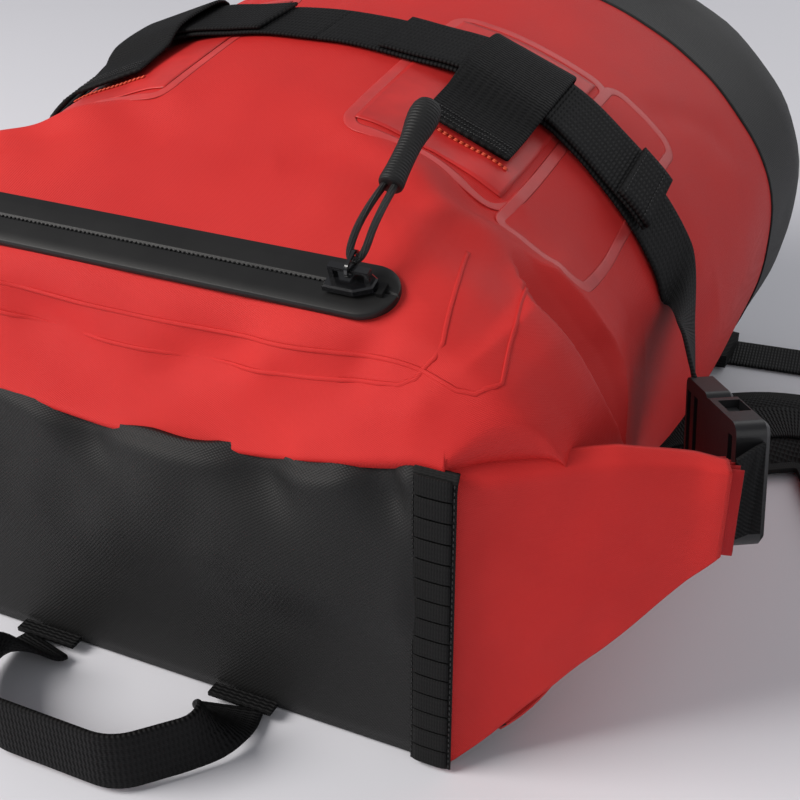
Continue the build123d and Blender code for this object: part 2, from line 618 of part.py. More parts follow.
def puller_pieces():
    """Ring round the slider's bridge, a loop of cord through it, and the grip on the cord's ends."""
    hub, along, across, lift = puller_frame()
    radius, wire = RING_INNER_RADIUS, RING_WIRE
    reach = RING_REACH - wire / 2
    middle = (reach - radius) / 2
    outer = SlotOverall(reach + radius + 2 * wire, 2 * (radius + wire))
    ring = Pos(middle, 0, 0) * (outer - SlotOverall(reach + radius, 2 * radius))
    ring_plane = Plane(origin=hub, x_dir=along, z_dir=across)
    ring = ring_plane * extrude(ring, wire / 2, both=True)
    half = CORD_SPREAD / 2
    back = hub + along * (RING_REACH - half)
    start = back + along * CORD_LENGTH
    route = FilletPolyline(
        start - across * half,
        back - across * half,
        back + across * half,
        start + across * half,
        radius=0.45 * CORD_SPREAD,
    )
    tip = Plane(origin=route @ 0, z_dir=route % 0)
    cord = sweep(tip * Circle(CORD_DIAMETER / 2), path=route)
    neck, bulb, length = GRIP_NECK_RADIUS, GRIP_BULB_RADIUS, GRIP_LENGTH
    outline = Polyline(
        (0, 0),
        (neck, 0),
        (neck - 0.3, length * 0.45),
        (bulb, length * 0.75),
        (bulb, length * 0.9),
        (bulb * 0.6, length),
        (0, length),
        close=True,
    )
    grip_plane = Plane(origin=start, x_dir=across, z_dir=along)
    grip = grip_plane * revolve(Plane.XZ * make_face(outline), axis=Axis.Z)
    return {"puller_ring": ring, "puller_cord": cord, "puller_grip": grip}


# ---- harness --------------------------------------------------------------------------------
def shoulder_route():
    """Middle line of the right-hand shoulder strap on the floor, from under the back out to the side."""
    return [(70, -116), (118, 40), (196, 92), (238, -6), (286, -62), (326, -4), (300, 66)]


def harness():
    """Padded shoulder straps, their adjusters and webbing, the corner anchors and the haul handle."""
    made = {}
    route = shoulder_route()
    end = Vector(*route[-1], 0)
    before = Vector(*route[-2], 0)
    on = (end - before).normalized()
    pad = flat_band(route, 34, SHOULDER_WIDTH, SHOULDER_THICKNESS, 0)
    lock_plane = Plane(origin=end + on * 4, x_dir=on, z_dir=(0, 0, 1))
    half = LADDER_WEBBING_WIDTH / 2 + 4
    lock = slab(0, 26, -half, half, 2.0, 6.0)
    lock = fillet(lock.edges().filter_by(Axis.Z), 3)
    for x0 in (3.5, 10.5, 17.5):
        lock -= slab(x0, x0 + 3.2, -half + 3.5, half - 3.5, 1, 7)
    tail = [tuple(end + on * 6)[:2], (286, 126), (212, 152), (120, 142)]
    webbing = flat_band(tail, 24, LADDER_WEBBING_WIDTH, LADDER_WEBBING_THICKNESS, 0)
    corner_y = FOOT_Y - 34.5
    outline = Polyline(
        (90, corner_y - 26), (90, corner_y + 16), (132, corner_y + 10), (132, corner_y - 18), close=True
    )
    anchor_plane = Pos(0, 0, LADDER_WEBBING_THICKNESS + 0.2)
    anchor = extrude(anchor_plane * make_face(outline), PAD_THICKNESS - LADDER_WEBBING_THICKNESS - 0.3)
    for word, side in SIDES.items():
        made[f"shoulder_strap_{word}"] = mirrored(pad, side)
        made[f"ladder_lock_{word}"] = mirrored(lock_plane * lock, side)
        made[f"ladder_webbing_{word}"] = mirrored(webbing, side)
        made[f"corner_anchor_{word}"] = mirrored(anchor, side)
    made.update(haul_handle())
    return made


def haul_handle():
    """Webbing handle on the floor before the roll, standing on its edge, and the patches it is sewn to."""
    root = MOUTH_Y - 8
    reach = root - HANDLE_REACH + 4
    span = HANDLE_HALF_SPAN
    route = [(span, root), (span + 5, root - 22), (span - 12, reach)]
    route += [(-x, y) for x, y in reversed(route)]
    band = standing_band(route, 9, HANDLE_BAND_HEIGHT, HANDLE_BAND_THICKNESS, 0.5)
    ramp = Plane(origin=(-100, root + 1, 6.0), x_dir=(0, 1, 0), z_dir=(1, 0, 0))
    cut = extrude(ramp * make_face(Polyline((5, -2), (5, 40), (-27, 40), (-27, 19), close=True)), 200)
    made = {"haul_handle": band - cut}
    anchors = []
    for side in SIDES.values():
        x = side * span
        anchors.append(slab(x - 12, x + 12, root + 2.5, MOUTH_Y - 0.1, WALL_FOOT, WALL_FOOT + 1.6))
    made["handle_anchors"] = Compound(children=anchors)
    return made


def build():
    """Every sub-part, by node name."""
    parts = {}
    for made in (
        bag_panels(),
        back_pads(),
        pocket_liner(),
        rolled_mouth(),
        ladder_ribbons(),
        compression_strap(),
        buckles(),
        zip_pieces(),
        harness(),
    ):
        parts.update(made)
    return parts


if __name__ == "__main__":
    os.makedirs("parts", exist_ok=True)
    for node, shape in build().items():
        export_step(shape, f"parts/{node}.step")
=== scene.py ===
# %% [markdown]
# # A roll-top dry backpack
#
# The bag lies on its back, packed full, with its mouth rolled and clipped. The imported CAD
# model is a fixed frame: it gives every piece its place and its body, and what follows gives
# each soft piece its fullness, its folds and its finish.
#
# Everything is worked out in millimetres and turned into metres when a mesh is made.

import math

import bmesh
import bpy
import numpy as np
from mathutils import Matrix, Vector, noise


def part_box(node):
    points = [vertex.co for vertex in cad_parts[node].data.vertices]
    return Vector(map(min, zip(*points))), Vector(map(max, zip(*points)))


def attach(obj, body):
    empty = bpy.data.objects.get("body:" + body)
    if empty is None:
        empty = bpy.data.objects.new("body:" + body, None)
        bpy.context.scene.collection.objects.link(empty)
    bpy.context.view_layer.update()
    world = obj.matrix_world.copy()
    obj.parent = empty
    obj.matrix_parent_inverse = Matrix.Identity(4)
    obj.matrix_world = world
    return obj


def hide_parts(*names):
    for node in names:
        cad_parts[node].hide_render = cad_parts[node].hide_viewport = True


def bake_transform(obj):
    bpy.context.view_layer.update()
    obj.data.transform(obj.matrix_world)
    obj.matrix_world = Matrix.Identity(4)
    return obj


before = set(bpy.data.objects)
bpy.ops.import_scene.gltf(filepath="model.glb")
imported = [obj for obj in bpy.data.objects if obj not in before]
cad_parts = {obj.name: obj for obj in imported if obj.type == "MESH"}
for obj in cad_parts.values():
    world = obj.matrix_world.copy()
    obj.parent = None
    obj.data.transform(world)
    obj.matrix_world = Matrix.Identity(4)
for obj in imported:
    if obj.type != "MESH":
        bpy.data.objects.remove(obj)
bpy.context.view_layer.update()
MM = 0.001

# %% [markdown]
# ## Camera
#
# A real lens of about 60 mm on a full-frame sensor, a little above the bag and turned towards
# its right-hand corner. Placing it before anything else means every later piece can be judged
# in the view that matters.

# %% Place the camera
CAMERA_AZIMUTH = 25.0
CAMERA_ELEVATION = 30.0
camera_lens = bpy.data.cameras.new("camera")
camera_lens.lens = 60.8
camera_lens.sensor_width = 36.0
camera_lens.clip_start = 0.01
camera = bpy.data.objects.new("camera", camera_lens)
camera.location = (0.233, -0.468, 0.318)
camera.rotation_euler = (math.radians(90 - CAMERA_ELEVATION), 0, math.radians(CAMERA_AZIMUTH))
bpy.context.collection.objects.link(camera)
bpy.context.scene.camera = camera
print("camera at", tuple(camera.location))

# %% [markdown]
# ## Shader maths as Python
#
# A finish is a graph of nodes, and most of its nodes are sums. Wrapping a socket in a small
# class lets a sum be written as a sum: `weave * 0.5 + grain`. Every other node comes from one
# method that takes its type, its settings and its inputs.


# %% A wrapper for sockets and finishes
class Signal:
    """A socket that can be added, taken away and multiplied like a number."""

    def __init__(self, finish, socket):
        self.finish, self.socket = finish, socket

    def maths(self, operation, *values):
        return self.finish.node("ShaderNodeMath", {"operation": operation}, dict(enumerate(values)))

    def __add__(self, other):
        return self.maths("ADD", self, other)

    def __radd__(self, other):
        return self.maths("ADD", self, other)

    def __sub__(self, other):
        return self.maths("SUBTRACT", self, other)

    def __rsub__(self, other):
        return self.maths("SUBTRACT", other, self)

    def __mul__(self, other):
        return self.maths("MULTIPLY", self, other)

    def __rmul__(self, other):
        return self.maths("MULTIPLY", self, other)

    def sin(self):
        return self.maths("SINE", self)

    def size(self):
        return self.maths("ABSOLUTE", self)


class Finish:
    """A material whose shader is one Principled BSDF, with constants set on its own sockets."""

    def __init__(self, name, colour, roughness, **constants):
        self.material = bpy.data.materials.new(name)
        self.material.use_nodes = True
        self.material.diffuse_color = (*colour, 1.0)
        self.nodes = self.material.node_tree.nodes
        self.links = self.material.node_tree.links
        self.shader = self.nodes["Principled BSDF"]
        self.shader.inputs["Base Color"].default_value = (*colour, 1.0)
        self.shader.inputs["Roughness"].default_value = roughness
        for key, value in constants.items():
            self.shader.inputs[key.replace("_", " ")].default_value = value

    def node(self, kind, settings=None, values=None, output=0):
        made = self.nodes.new(kind)
        for key, value in (settings or {}).items():
            setattr(made, key, value)
        for key, value in (values or {}).items():
            if isinstance(value, Signal):
                self.links.new(value.socket, made.inputs[key])
            else:
                made.inputs[key].default_value = value
        return Signal(self, made.outputs[output])

    def place(self, output="Object"):
        return self.node("ShaderNodeTexCoord", output=output)

    def parts(self, vector):
        split = self.node("ShaderNodeSeparateXYZ", values={0: vector}).socket.node
        return [Signal(self, split.outputs[i]) for i in range(3)]

    def noise(self, vector, scale, detail=3.0, roughness=0.55):
        values = {"Vector": vector, "Scale": scale, "Detail": detail, "Roughness": roughness}
        return self.node("ShaderNodeTexNoise", values=values)

    def ramp(self, factor, *stops):
        ramp = self.node("ShaderNodeValToRGB", values={0: factor}).socket.node
        while len(ramp.color_ramp.elements) < len(stops):
            ramp.color_ramp.elements.new(0.5)
        for element, (place, colour) in zip(ramp.color_ramp.elements, stops):
            element.position = place
            element.color = (*colour, 1.0)
        return Signal(self, ramp.outputs[0])

    def feed(self, key, signal):
        self.links.new(signal.socket, self.shader.inputs[key])

    def bump(self, height, distance, strength=1.0):
        values = {"Height": height, "Distance": distance, "Strength": strength}
        self.feed("Normal", self.node("ShaderNodeBump", values=values))


print("finish helper ready")

# %% [markdown]
# ## Coated fabric
#
# The body is nylon coated with polyurethane: a fine plain weave shows through a satin skin.
# A scan of cloth could be tiled over it, but a weave is only two sets of waves at right
# angles, so two sines of the position make it at its true pitch on any shape. The same sines
# paint shade into the weave's dips and a highlight on its tops. Slow noise adds the faint
# cloudiness of a coating.


# %% Coated fabrics
def coated_fabric(name, colour, cloud_and_shade_tone, roughness, weave_depth=0.00003, pitch=0.00075, **constants):
    """A satin coating over a fine weave, with painted shade in the weave's dips and painted highlight on its
    tops.
    """
    finish = Finish(name, colour, roughness, **constants)
    place = finish.place()
    x, y, z = finish.parts(place)
    turn = 2 * math.pi / pitch
    warp = (x * turn).sin()
    weft = ((y + z) * turn).sin()
    weave = warp * weft
    # painted shade in the weave's dips and painted highlight on its tops, keyed to the same waves as the
    # bump
    painted_weave_shading = (weave * 0.5 + 0.5) * 0.16
    cloud = finish.noise(place, 16.0, 4.0)
    grain = finish.noise(place, 900.0, 2.0)
    finish.feed("Base Color", finish.ramp(cloud + painted_weave_shading - 0.08, (0.3, cloud_and_shade_tone), (0.7, colour)))
    finish.feed("Roughness", cloud * 0.12 + grain * 0.08 + (roughness - 0.10))
    finish.bump(weave * 0.8 + grain * 0.5, weave_depth)
    return finish.material


# RED_DEEP is the red's darker end: the coating's cloudy tone and the painted shade in the weave's dips
RED = (0.64, 0.030, 0.026)
RED_DEEP = (0.56, 0.022, 0.021)
BLACK = (0.0115, 0.0115, 0.0115)
red_fabric = coated_fabric("red_coated_fabric", RED, RED_DEEP, 0.52, 0.00007, Specular_IOR_Level=0.18)
black_fabric = coated_fabric(
    "black_coated_fabric", BLACK, (0.012, 0.012, 0.012), 0.58, 0.00007, 0.0014, Specular_IOR_Level=0.25
)
red_edge = coated_fabric(
    "red_cut_edge", (0.46, 0.016, 0.017), (0.36, 0.012, 0.014), 0.62, Specular_IOR_Level=0.2
)
print("fabrics:", red_fabric.name, black_fabric.name)

# %% [markdown]
# ## Webbing, thread, film, rubber and moulded nylon
#
# Webbing is a narrow weave with cross ribs. Its pattern has to turn with the strap, so it
# reads the strap's own UV map, which is laid out in millimetres: the first number runs across
# the strap and the second along it.


# %% Webbing and ribbon
def woven_strap(name, colour, rib, columns, depth=0.00025, source="UV"):
    """Narrow woven band: ribs across it, with fine columns of yarn along it, painted lighter on their tops
    as a highlight and darker between them as shade.
    """
    finish = Finish(name, colour, 0.7, Specular_IOR_Level=0.14)
    across, along, rise = finish.parts(finish.place(source))
    if source == "Object":
        across, along = across * 1000, (along + rise) * 1000
    column = (across * (2 * math.pi / columns)).sin()
    slant = column * 0.6
    ribs = (along * (2 * math.pi / rib) + slant).sin()
    yarn = (across * (2 * math.pi / (columns / 4))).sin()
    grain = finish.noise(finish.place(), 1500.0, 2.0)
    height = ribs * 0.6 + column * 0.25 + yarn * 0.1 + grain * 0.3
    # painted highlight on the raised ribs and yarn, with painted shade between them
    painted_highlight = tuple(c * 2.2 + 0.002 for c in colour)
    finish.feed("Base Color", finish.ramp(height * 0.4 + 0.45, (0.1, colour), (0.9, painted_highlight)))
    finish.feed("Roughness", grain * 0.2 + 0.55)
    finish.bump(height, depth, 0.8)
    return finish.material


WEBBING_BLACK = (0.0026, 0.0026, 0.0028)
webbing = woven_strap("black_webbing", WEBBING_BLACK, rib=1.5, columns=3.0)
ribbon = woven_strap("black_ribbon", (0.0045, 0.0045, 0.0045), rib=0.9, columns=1.8, depth=0.00008)
folded_webbing = woven_strap("folded_webbing", WEBBING_BLACK, 1.5, 3.0, source="Object")


def plain_finish(name, colour, roughness, grain_scale, grain_depth, **constants):
    """A moulded or cast finish with its own fine grain."""
    finish = Finish(name, colour, roughness, **constants)
    grain = finish.noise(finish.place(), grain_scale, 3.0)
    slow = finish.noise(finish.place(), 60.0, 3.0)
    finish.feed("Roughness", grain * 0.10 + slow * 0.12 + (roughness - 0.11))
    dark = tuple(c * 0.8 for c in colour)
    finish.feed("Base Color", finish.ramp(slow, (0.35, dark), (0.65, colour)))
    finish.bump(grain, grain_depth)
    return finish.material


def ribbed_rubber(name, colour, pitch, axis):
    """Matt rubber with fine rings round an axis."""
    finish = Finish(name, colour, 0.6, Specular_IOR_Level=0.3)
    values = {0: finish.place(), 1: axis}
    run = finish.node("ShaderNodeVectorMath", {"operation": "DOT_PRODUCT"}, values, "Value")
    rings = (run * (2 * math.pi / pitch)).sin()
    grain = finish.noise(finish.place(), 1100.0, 2.0)
    finish.feed("Roughness", grain * 0.15 + 0.5)
    finish.bump(rings * 0.7 + grain * 0.4, 0.00012)
    return finish.material


DULL = {"Specular_IOR_Level": 0.3}
zip_urethane = plain_finish("zip_urethane", (0.009, 0.009, 0.009), 0.50, 1400.0, 0.00003, **DULL)
zip_plastic = plain_finish("zip_coil_plastic", (0.003, 0.003, 0.003), 0.42, 900.0, 0.00002, **DULL)
slider_metal = plain_finish(
    "black_slider_metal", (0.006, 0.006, 0.007), 0.24, 700.0, 0.00001, Coat_Weight=0.5
)
grip_rubber = ribbed_rubber("grip_rubber", (0.010, 0.010, 0.010), 0.0011, (0, 0.866, 0.5))
nylon = plain_finish("moulded_nylon", (0.007, 0.007, 0.008), 0.38, 1300.0, 0.00003)
weld_film = plain_finish("weld_film", (0.58, 0.028, 0.026), 0.42, 500.0, 0.00002, **DULL)
weld_ridge = plain_finish("weld_ridge", (0.62, 0.052, 0.050), 0.42, 500.0, 0.00002, **DULL)
red_thread = plain_finish("red_thread", (0.66, 0.065, 0.018), 0.55, 3000.0, 0.00005)
black_thread = plain_finish("black_thread", (0.010, 0.010, 0.010), 0.45, 3000.0, 0.00005)
print("finishes so far:", len(bpy.data.materials))

# %% [markdown]
# ## Mesh for the back and the straps
#
# What touches the wearer is spacer mesh: a foam core under a net with small round holes in
# staggered rows. The holes are a few millimetres apart, far too many to cut, so a bump and a
# darker colour, painted shade inside each hole, carry them.


# %% Spacer mesh and cord braid
def spacer_mesh(name, colour, pitch):
    """Net with staggered round holes, painted darker inside as shade."""
    finish = Finish(name, colour, 0.8, Specular_IOR_Level=0.2)
    x, y, _ = finish.parts(finish.place())
    turn = 2 * math.pi / pitch
    hole = ((x * turn).sin() * (y * (turn * 0.6)).sin()).size()
    grain = finish.noise(finish.place(), 1200.0, 2.0)
    net = tuple(c * 2.0 + 0.001 for c in colour)
    # painted shade in the holes; the net between them is lighter
    finish.feed("Base Color", finish.ramp(hole, (0.25, net), (0.6, colour)))
    finish.bump(grain * 0.3 - hole, 0.0005, 0.7)
    return finish.material


def braid(name, colour, pitch):
    """Round cord: two sets of strands that cross, painted lighter where they rise as a highlight and darker
    where they sink as shade.
    """
    finish = Finish(name, colour, 0.5)
    x, y, z = finish.parts(finish.place())
    turn = 2 * math.pi / pitch
    left = (x * turn + y * turn + z * turn).sin()
    right = (x * turn - y * turn - z * turn).sin()
    strands = left * right
    # painted highlight where the strands rise, painted shade where they sink
    painted_highlight = tuple(c * 3 + 0.002 for c in colour)
    finish.feed("Base Color", finish.ramp(strands * 0.5 + 0.5, (0.35, colour), (0.75, painted_highlight)))
    finish.bump(strands, 0.0002, 0.9)
    return finish.material


pad_mesh = spacer_mesh("black_spacer_mesh", (0.003, 0.003, 0.0032), 0.0035)
cord_braid = braid("black_cord_braid", (0.004, 0.004, 0.004), 0.0012)
print("finishes:", len(bpy.data.materials))

# %% [markdown]
# ## The puller's cord
#
# A loop of thin braided cord runs through the ring on the zip slider, and both its ends are
# moulded into a rubber grip. It is one curve with a few control points, and the curve's own
# bevel makes it round. The cord comes first because its solid in the frame is measured
# against it.

# %% Cord loop
RISE = math.radians(30.0)
HUB = Vector((0.072, -0.1565994, 0.1587417))
ALONG = Vector((0, math.cos(RISE), math.sin(RISE)))
LIFT = Vector((0, -math.sin(RISE), math.cos(RISE)))
LOOP_BACK = HUB + ALONG * 0.0032
GRIP_START = LOOP_BACK + ALONG * 0.028
HALF_SPREAD = Vector((0.0026, 0, 0))
CORD_RADIUS = 0.00115


def nurbs_line(name, points, radius):
    """A smooth round cord with these points as its control points."""
    data = bpy.data.curves.new(name, "CURVE")
    data.dimensions = "3D"
    data.bevel_depth = radius
    data.bevel_resolution = 5
    data.resolution_u = 14
    data.use_fill_caps = True
    spline = data.splines.new("NURBS")
    spline.points.add(len(points) - 1)
    for point, place in zip(spline.points, points):
        point.co = (*place, 1.0)
    spline.order_u = 3
    spline.use_endpoint_u = True
    made = bpy.data.objects.new(name, data)
    bpy.context.collection.objects.link(made)
    return made


arch = LIFT * 0.0035
cord_points = [
    GRIP_START - HALF_SPREAD * 0.62 + ALONG * 0.001,
    (GRIP_START + LOOP_BACK) / 2 - HALF_SPREAD * 0.9 + arch,
    LOOP_BACK - HALF_SPREAD,
    LOOP_BACK + HALF_SPREAD,
    (GRIP_START + LOOP_BACK) / 2 + HALF_SPREAD * 0.9 + arch,
    GRIP_START + HALF_SPREAD * 0.62 + ALONG * 0.001,
]
puller_cord = nurbs_line("puller_cord_loop", cord_points, CORD_RADIUS)
puller_cord.data.materials.append(cord_braid)
print("cord control points:", len(cord_points))

# %% [markdown]
# ## The shape of the bag
#
# A packed bag is a lofted tube: its section changes slowly from the flat rolled mouth to the
# full round foot. Each station below is a section, with a nearly flat crown, a quarter ellipse
# down to the widest line, another below it, and a flat base. Smooth curves through the stations
# give a section anywhere. Everything that lies on the bag asks this one surface for its place,
# so nothing floats or sinks.

# %% Sections of the bag
RIM_Y = -174.2
BORDER_Y = 87.5
FOOT_Y = 176.5
RIM_SAG = 16.0

# y, half width, height of the widest line, top, half of the flat crown, half of the base, height of the base
SECTIONS = np.array([
    (RIM_Y, 149.5, 58, 114, 100, 112, 8),
    (-162.5, 149.5, 64, 146, 86, 109, 8),
    (-145.0, 148.5, 67, 154, 84, 108, 8),
    (-110.5, 145.5, 72, 167, 45, 100, 8),
    (-64.5, 138.5, 76, 182, 10, 95, 8),
    (10.0, 147.5, 80, 189, 4, 95, 8),
    (BORDER_Y, 149.5, 88, 191, 4, 95, 8),
    (128.5, 150.5, 89, 191, 6, 94, 8),
    (160.5, 146.5, 89, 183, 14, 88, 8),
    (FOOT_Y, 131.5, 88, 161, 24, 81, 14),
], float)


def through(xs, table):
    """Smooth values at xs through the rows of table, never overshooting them."""
    x, values = table[:, 0], table[:, 1:]
    step = np.diff(x)[:, None]
    slope = np.diff(values, axis=0) / step
    tangent = np.zeros_like(values)
    tangent[0], tangent[-1] = slope[0], slope[-1]
    same = slope[:-1] * slope[1:] > 0
    mean = 2 * slope[:-1] * slope[1:] / np.where(same, slope[:-1] + slope[1:], 1.0)
    tangent[1:-1] = np.where(same, mean, 0.0)
    xs = np.clip(np.asarray(xs, float), x[0], x[-1])
    i = np.clip(np.searchsorted(x, xs, "right") - 1, 0, len(x) - 2)
    t = ((xs - x[i]) / (x[i + 1] - x[i]))[..., None]
    h = step[i]
    return (
        (2 * t**3 - 3 * t**2 + 1) * values[i]
        + (t**3 - 2 * t**2 + t) * h * tangent[i]
        + (3 * t**2 - 2 * t**3) * values[i + 1]
        + (t**3 - t**2) * h * tangent[i + 1]
    )


def smooth_step(x, low, high):
    """0 below low, 1 above high, and an even curve between."""
    t = np.clip((np.asarray(x, float) - low) / (high - low), 0, 1)
    return t * t * (3 - 2 * t)


def hull(u, y):
    """Point of the plain bag. u runs round the section: 0 at the top, +-1 at the crown's edge, +-2 at the
    widest line, +-3 at the base's edge and +-4 under the middle."""
    u, y = np.broadcast_arrays(np.asarray(u, float), np.asarray(y, float))
    half, side, top, flat, base, foot = np.moveaxis(through(y, SECTIONS), -1, 0)
    t, sign = np.abs(u), np.where(u < 0, -1.0, 1.0)
    upper = np.radians(90) * np.clip(t - 1, 0, 1)
    lower = np.radians(90) * np.clip(t - 2, 0, 1)
    x = np.where(t <= 1, flat * t, flat + (half - flat) * np.sin(upper))
    z = np.where(t <= 1, top, side + (top - side) * np.cos(upper))
    x = np.where(t > 2, base + (half - base) * np.cos(lower), x)
    z = np.where(t > 2, side - (side - foot) * np.sin(lower), z)
    x = np.where(t > 3, base * (4 - t), x)
    rim = 1 - smooth_step(y, RIM_Y, -163)
    z = z - RIM_SAG * rim * np.clip(1 - (x / np.maximum(flat, 1)) ** 2, 0, 1) * (t <= 1)
    return np.stack([sign * x, y, z], -1)


def hull_normal(u, y, reach=0.02):
    """Outward normal of the plain bag."""
    du = hull(u + reach, y) - hull(u - reach, y)
    dy = hull(u, np.asarray(y) + 1.0) - hull(u, np.asarray(y) - 1.0)
    n = np.cross(du, dy)
    return n / np.maximum(np.linalg.norm(n, axis=-1, keepdims=True), 1e-9)


def u_above(x, y):
    """The u of the point of the upper surface above x."""
    half, _, _, flat, _, _ = np.moveaxis(through(y, SECTIONS), -1, 0)
    x = np.asarray(x, float)
    over = np.clip((np.abs(x) - flat) / (half - flat), 0, 1)
    t = np.where(np.abs(x) <= flat, np.abs(x) / flat, 1 + np.degrees(np.arcsin(over)) / 90)
    return np.sign(x) * t


print("widest section:", SECTIONS[:, 1].max() * 2, "mm")

# %% [markdown]
# ## Folds
#
# Coated fabric doesn't stretch, so where the bag narrows to its mouth the slack stands up in
# ridges and sinks in grooves. Each fold here is a line in space with a width and a height: a
# point of the surface moves out or in by how near it lies to the line. Sculpting by hand would
# give the same forms, but a list of lines can be read and changed.

# %% Fold lines
# (points on the fold), width, height; all in millimetres, for the right-hand side
FOLDS = [
    ([(36, -86, 176), (57, -96, 170), (84, -110, 159), (100, -113, 151), (110, -104, 144)], 9.0, 3.6),
    ([(66, -80, 170), (92, -94, 156), (112, -92, 142)], 9.0, -2.2),
    ([(124, -60, 134), (134, -76, 124), (143, -92, 112), (149, -108, 100)], 5.0, 3.0),
    ([(76, -168, 128), (84, -160, 140), (92, -148, 146)], 6.0, -4.0),
    ([(40, -170, 122), (52, -165, 133), (70, -163, 138)], 6.0, 2.8),
    ([(98, -170, 124), (106, -158, 134), (109, -140, 140)], 5.0, 3.2),
    ([(10, -171, 118), (24, -168, 126), (50, -166, 130)], 6.0, -2.8),
    ([(60, -118, 160), (80, -100, 160), (96, -78, 156)], 9.0, -2.2),
    ([(72, -128, 156), (92, -112, 153), (106, -92, 148)], 8.0, 1.8),
    ([(20, -110, 168), (50, -90, 172), (78, -66, 168)], 10.0, -1.8),
    ([(104, 20, 158), (120, 44, 146), (134, 66, 130)], 8.0, -1.8),
    ([(112, 30, 150), (128, 56, 136)], 7.0, 1.4),
    ([(140, -60, 98), (146, -30, 90), (148, 10, 92)], 12.0, -2.5),
]


# The gusset at each end of the mouth, down the bag's shoulder: the run down from the peak, the y of its near
# edge, the y of its far edge and how deep it is, from 0 to 1
GUSSET = np.array([
    (-8, -112, -104, 0.0), (0, -120, -103, 0.35), (5, -131, -101, 0.8), (16, -132, -99, 1.0),
    (27, -131, -97, 1.0), (34, -129, -94, 0.9), (41, -126, -95, 0.75), (53, -118, -102, 0.45),
    (62, -111, -107, 0.12), (70, -106, -104, 0.0),
], float)
# share of the way from the near edge to the far one, and how far the fabric stands out there
GUSSET_PROFILE = np.array([
    (-2.4, 0), (-1.2, 1.6), (-0.6, 3.8), (-0.22, 6.4), (-0.06, 7.2), (0.01, 6.4), (0.08, -7.0),
    (0.15, -12.0), (0.3, -10.0), (0.6, -6.0), (0.88, -2.0), (0.97, 0.6), (1.05, 3.2), (1.25, 2.8),
    (1.8, 0.8), (2.6, 0.0),
], float)


def gusset(points):
    """The folded-in gusset on the right: a crest, a sharp drop behind it and a facet that rises to a lip."""
    run = (points[..., 0] - 109) * 0.53 + (144 - points[..., 2]) * 0.85
    near, far, depth = (np.interp(run, GUSSET[:, 0], GUSSET[:, k]) for k in (1, 2, 3))
    share = (points[..., 1] - near) / (far - near)
    height = np.interp(share, GUSSET_PROFILE[:, 0], GUSSET_PROFILE[:, 1])
    on_side = (points[..., 0] > 60) * (points[..., 2] > 60)
    return height * depth * on_side


def near_line(points, line):
    """Distance from each point to a line of points, and how far along the line that is, from 0 to 1."""
    line = np.asarray(line, float)
    best = np.full(points.shape[:-1], 1e9)
    share = np.zeros(points.shape[:-1])
    lengths = np.linalg.norm(np.diff(line, axis=0), axis=1)
    done = 0.0
    for a, b, length in zip(line[:-1], line[1:], lengths):
        t = np.clip(((points - a) @ (b - a)) / length**2, 0, 1)
        d = np.linalg.norm(points - (a + t[..., None] * (b - a)), axis=-1)
        closer = d < best
        best = np.where(closer, d, best)
        share = np.where(closer, (done + t * length) / lengths.sum(), share)
        done += length
    return best, share


def cloth_noise(points, scale, stretch=(1, 1, 1), seed=0.0):
    """Slow even noise for every point, from -1 to 1."""
    flat = points.reshape(-1, 3) * np.asarray(stretch) / scale + seed
    return np.array([noise.noise(Vector(p)) for p in flat]).reshape(points.shape[:-1])


def relief(points):
    """How far the fabric stands out from the plain bag at each point."""
    mirrored = points * np.array([-1.0, 1.0, 1.0])
    out = gusset(points) + gusset(mirrored)
    for line, width, height in FOLDS:
        for side in (points, mirrored):
            distance, share = near_line(side, line)
            taper = np.sqrt(np.clip(np.sin(np.pi * np.clip(share, 0.02, 0.98)), 0, 1))
            out += height * taper * np.exp(-((distance / width) ** 2))
    out += 1.1 * cloth_noise(points, 46.0, (1, 0.7, 1), 3.0)
    out += 0.5 * cloth_noise(points, 19.0, (1, 0.6, 1), 11.0)
    return out


def skin(u, y, stand=0.0):
    """Point of the folded bag, standing off it by stand."""
    base = hull(u, y)
    return base + hull_normal(u, y) * (relief(base) + stand)[..., None]


def over(x, y, stand=0.0):
    """Point of the folded bag above x and y, standing off it by stand."""
    x, y = np.broadcast_arrays(np.asarray(x, float), np.asarray(y, float))
    return skin(u_above(x, y), y, np.broadcast_to(np.asarray(stand, float), x.shape))


print("folds on each side:", len(FOLDS))

# %% [markdown]
# ## From points to meshes
#
# A panel is a grid of points joined by four-sided faces. Solidify then gives it the fabric's
# thickness, on the inside, so the outer surface stays where it was put. A strap or a pad is a
# tube: the same grid joined round, with a face to close each end.


# %% Mesh helpers
SIDES = (("right", 1), ("left", -1))


def link_mesh(name, points, faces, material):
    """A smooth mesh at the origin, from points in millimetres."""
    data = bpy.data.meshes.new(name)
    data.from_pydata([tuple(np.asarray(p) * MM) for p in points], [], faces)
    data.materials.append(material)
    data.update()
    for polygon in data.polygons:
        polygon.use_smooth = True
    made = bpy.data.objects.new(name, data)
    bpy.context.collection.objects.link(made)
    return made


def grid_faces(rows, columns, closed=False):
    """Faces of a grid, optionally joined round in the second direction."""
    faces = []
    for i in range(rows - 1):
        for j in range(columns if closed else columns - 1):
            k = (j + 1) % columns
            faces.append((i * columns + j, i * columns + k, (i + 1) * columns + k, (i + 1) * columns + j))
    return faces


def tube_faces(rows, ring, start=0):
    """Faces of a closed tube: its sides, then its two ends."""
    faces = grid_faces(rows, ring, closed=True)
    faces += [tuple(range(ring)), tuple((rows - 1) * ring + i for i in range(ring))]
    return [tuple(start + i for i in face) for face in faces]


def outward(made):
    """Turns a closed mesh's faces outwards."""
    shape = bmesh.new()
    shape.from_mesh(made.data)
    bmesh.ops.recalc_face_normals(shape, faces=shape.faces)
    shape.to_mesh(made.data)
    shape.free()
    return made


